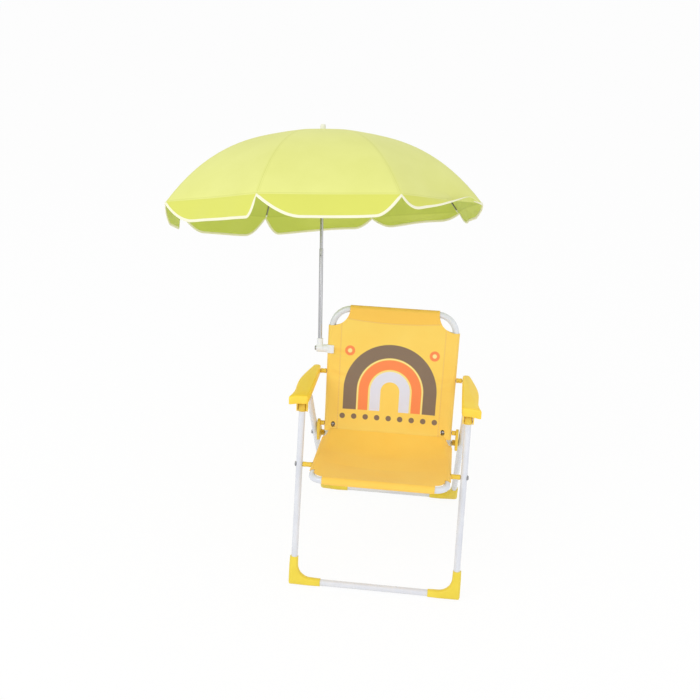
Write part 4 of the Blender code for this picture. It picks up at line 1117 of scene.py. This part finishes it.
# Ribs, stretchers and their fittings
up = Vector((0.0, 0.0, 1.0))
runner_height = DOME_TOP - RUNNER_UNDER_TOP
for n in range(8):
    out, aside = outwards(rib_turn(n))
    path = [out * RIB_START + up * (DOME_TOP - 0.0105)]
    for k in range(1, 25):
        run = RIB_START + (RIB_END - RIB_START) * k / 24
        ease = min(1.0, k / 3)
        path.append(out * run + up * (dome_z(run) - RIB_UNDER - 0.0045 * (1 - ease)))
    wire = tube(f"rib_{n + 1}_wire", path, 0.0013, resolution=3)
    tip = turned("tip", [
        (0.0006, -0.0060), (0.0019, -0.0058), (0.0021, -0.0040),
        (0.0021, -0.0008), (0.0016, 0.0006), (0.0005, 0.0010),
    ], 16)
    last = (path[-1] - path[-2]).normalized()
    tip.data.transform(moved(*path[-1]) @ last.to_track_quat("Z", "Y").to_matrix().to_4x4())
    wire.data.materials.append(wire_steel)
    tip.data.materials.append(pale_plastic)
    made = joined([wire, tip])
    settle(made, f"rib_{n + 1}", None, (f"rib_{n + 1}",), ON_CANOPY)
    joint = out * STRETCHER_OUT + up * (dome_z(STRETCHER_OUT) - RIB_UNDER) + aside * STRETCHER_ASIDE
    joint = ON_POLE.inverted() @ ON_CANOPY @ joint
    foot_at = out * 0.0095 + up * runner_height + aside * STRETCHER_ASIDE
    points = [foot_at.lerp(joint, k / 8) for k in range(9)]
    strut = tube(f"stretcher_{n + 1}_wire", points, 0.0011, resolution=3)
    settle(strut, f"stretcher_{n + 1}", wire_steel, (f"stretcher_{n + 1}",), ON_POLE)


def turned_at(name, height, profile, sides):
    """A turned piece whose profile is measured from a height up the pole."""
    return turned(name, [(radius, height + rise) for radius, rise in profile], sides)


crown = turned_at("crown_disc", DOME_TOP - 0.0015, [
    (0.0037, -0.0061), (0.0080, -0.0061), (0.0092, -0.0052), (0.0092, -0.0044), (0.0086, -0.0040),
    (0.0086, -0.0030), (0.0092, -0.0026), (0.0092, -0.0010), (0.0084, -0.0003), (0.0037, -0.0003),
], 40)
settle(crown, "mast", pale_plastic, ("crown",), ON_POLE, 30)
ferrule = turned_at("ferrule_turned", DOME_TOP, [
    (0.0036, 0.0003), (0.0064, 0.0003), (0.0067, 0.0010), (0.0064, 0.0020), (0.0059, 0.0060),
    (0.0056, 0.0110), (0.0052, 0.0142), (0.0042, 0.0156), (0.0010, 0.0160),
], 32)
settle(ferrule, "mast", pale_plastic, ("ferrule",), ON_POLE, 35)
runner = turned_at("runner_sleeve", runner_height, [
    (0.0037, -0.0090), (0.0062, -0.0090), (0.0068, -0.0084), (0.0066, -0.0030), (0.0078, -0.0022),
    (0.0078, 0.0022), (0.0066, 0.0030), (0.0064, 0.0084), (0.0058, 0.0090), (0.0037, 0.0090),
], 40)
settle(runner, "slider", pale_plastic, ("runner",), ON_POLE, 30)


# Pole in two lengths, its catch, and the clamp with the tilting hub
lower = turned("pole_lower_tube", [
    (0.0037, 0.0015), (0.0042, 0.0016), (0.0042, 0.2040),
    (0.0041, 0.2048), (0.0037, 0.2050), (0.0035, 0.2046),
], 40)
settle(lower, "hub", plated, ("pole_lower",), ON_POLE, 35)
upper = turned("pole_upper_tube", [
    (0.0028, 0.110), (0.0034, 0.1104), (0.0034, DOME_TOP + 0.0070), (0.0028, DOME_TOP + 0.0076),
], 36)
settle(upper, "mast", plated, ("pole_upper",), ON_POLE, 35)
catch = turned("lock_button_turned", [
    (0.0014, 0.0), (0.0016, 0.0002), (0.0016, 0.0014), (0.0012, 0.0020), (0.0005, 0.0022),
], 20)
catch_place = ON_POLE @ moved(0.0, -0.0037, 0.191) @ spun(math.pi / 2, "X")
settle(catch, "hub", bolt_steel, ("lock_button",), catch_place)

tube_middle = at(E, -back_half((B - C).length + CLAMP_ABOVE_B))
on_tube = moved(*tube_middle) @ spun(-LEG_LEAN, "X")
ring = turned("clamp_body", [
    (0.0040, -0.0085), (0.0098, -0.0085), (0.0104, -0.0079),
    (0.0104, 0.0079), (0.0098, 0.0085), (0.0040, 0.0085),
], 48)
ring.data.transform(on_tube)
barrel = turned("barrel", [
    (0.0030, 0.0), (0.0072, 0.0), (0.0080, 0.0008), (0.0080, 0.0236), (0.0076, 0.0241), (0.0030, 0.0241),
], 48)
barrel.data.transform(across(E, -1.0, 0.1202))
combine(ring, [barrel], "UNION")
bore = rod(0.0083, 0.06, 48, on_tube)
bare()
bpy.ops.mesh.primitive_cube_add(size=1.0)
mouth = bpy.context.object
mouth_middle = at(tube_middle, tube_middle.x + 0.0104) + BACK_FRONT * 0.0067
mouth_size = Matrix.Diagonal((0.0208, 0.0036, 0.034, 1.0))
mouth.data.transform(moved(*mouth_middle) @ spun(-LEG_LEAN, "X") @ mouth_size)
combine(ring, [bore, mouth], "DIFFERENCE")
settle(ring, "back", clamp_plastic, ("clamp",), angle=30)

hub = turned("tilt_hub_body", [
    (0.0024, -0.0066), (0.0074, -0.0066), (0.0080, -0.0060),
    (0.0080, 0.0062), (0.0074, 0.0068), (0.0030, 0.0068),
], 48)
hub.data.transform(spun(-math.pi / 2, "Y"))
socket = turned("socket", [
    (0.0045, 0.002), (0.0064, 0.002), (0.0064, 0.0176), (0.0068, 0.0182),
    (0.0068, 0.0194), (0.0062, 0.0200), (0.0045, 0.0200),
], 40)
combine(hub, [socket], "UNION")
settle(hub, "hub", clamp_plastic, ("tilt_hub",), ON_POLE, 30)
knob = turned("clamp_knob_turned", [
    (0.0020, 0.0), (0.0044, 0.0), (0.0046, 0.0004), (0.0046, 0.0028),
    (0.0038, 0.0035), (0.0020, 0.0036), (0.0018, 0.0026), (0.0006, 0.0026),
], 20)
knob_place = ON_POLE @ moved(-0.0071, 0.0, 0.0) @ spun(-math.pi / 2, "Y")
settle(knob, "knob", bolt_steel, ("clamp_knob",), knob_place, 25)


# Floor, light and camera
bare()
bpy.ops.mesh.primitive_plane_add(size=90.0)
floor = bpy.context.object
floor.name = "floor"
paint, look, shader = material("studio_floor", "FFFFFF", 0.9)
glow = look.node("Emission", "Emission", {"Strength": 1.0})
blend = look.nodes.new("ShaderNodeMixShader")
look.fill(blend, {"Fac": look.times(look.seen_straight(), 0.92), 1: shader.outputs["BSDF"], 2: glow})
look.fill(look.nodes["Material Output"], {"Surface": blend.outputs["Shader"]})
floor.data.materials.append(paint)
floor.location = (0.0, 0.0, -0.0005)

world = bpy.data.worlds.new("studio")
bpy.context.scene.world = world
world.use_nodes = True
look = Nodes(world.node_tree)
look.fill(look.nodes["Background"], {
    "Color": "FFFFFF",
    "Strength": look.ranged(look.seen_straight(), 0.75, 1.0, 0.0, 1.0),
})


def lamp(name, place, size, power):
    bare()
    bpy.ops.object.light_add(type="AREA", location=place)
    made = bpy.context.object
    made.name = name
    made.data.size = size
    made.data.energy = power
    made.rotation_euler = (Vector((0.0, 0.0, 0.4)) - Vector(place)).to_track_quat("-Z", "Y").to_euler()


lamp("key", (-1.6, -2.2, 2.6), 2.2, 36.0)
lamp("fill", (2.2, -1.6, 1.2), 2.0, 11.0)

bpy.context.scene.view_settings.view_transform = "Standard"

YAW, PITCH, ROLL = 0.108, 0.412, -0.029
DISTANCE = 1.8558
AIM = Vector((-0.0767, 0.150, 0.4532))
FOCAL = 952.5
PICTURE = 700
SENSOR = 36.0
ahead = Vector((-math.sin(YAW) * math.cos(PITCH), math.cos(YAW) * math.cos(PITCH), -math.sin(PITCH)))
right = Vector((math.cos(YAW), math.sin(YAW), 0.0))
upward = right.cross(ahead)
turned_right = right * math.cos(ROLL) - upward * math.sin(ROLL)
turned_up = right * math.sin(ROLL) + upward * math.cos(ROLL)
bare()
bpy.ops.object.camera_add()
camera = bpy.context.object
camera.name = "camera"
stand = CHAIR_MIDDLE + AIM - ahead * DISTANCE
axes = Matrix((turned_right, turned_up, -ahead)).transposed().to_4x4()
camera.matrix_world = Matrix.Translation(stand) @ axes
camera.data.sensor_width = SENSOR
camera.data.lens = FOCAL / PICTURE * SENSOR
bpy.context.scene.camera = camera
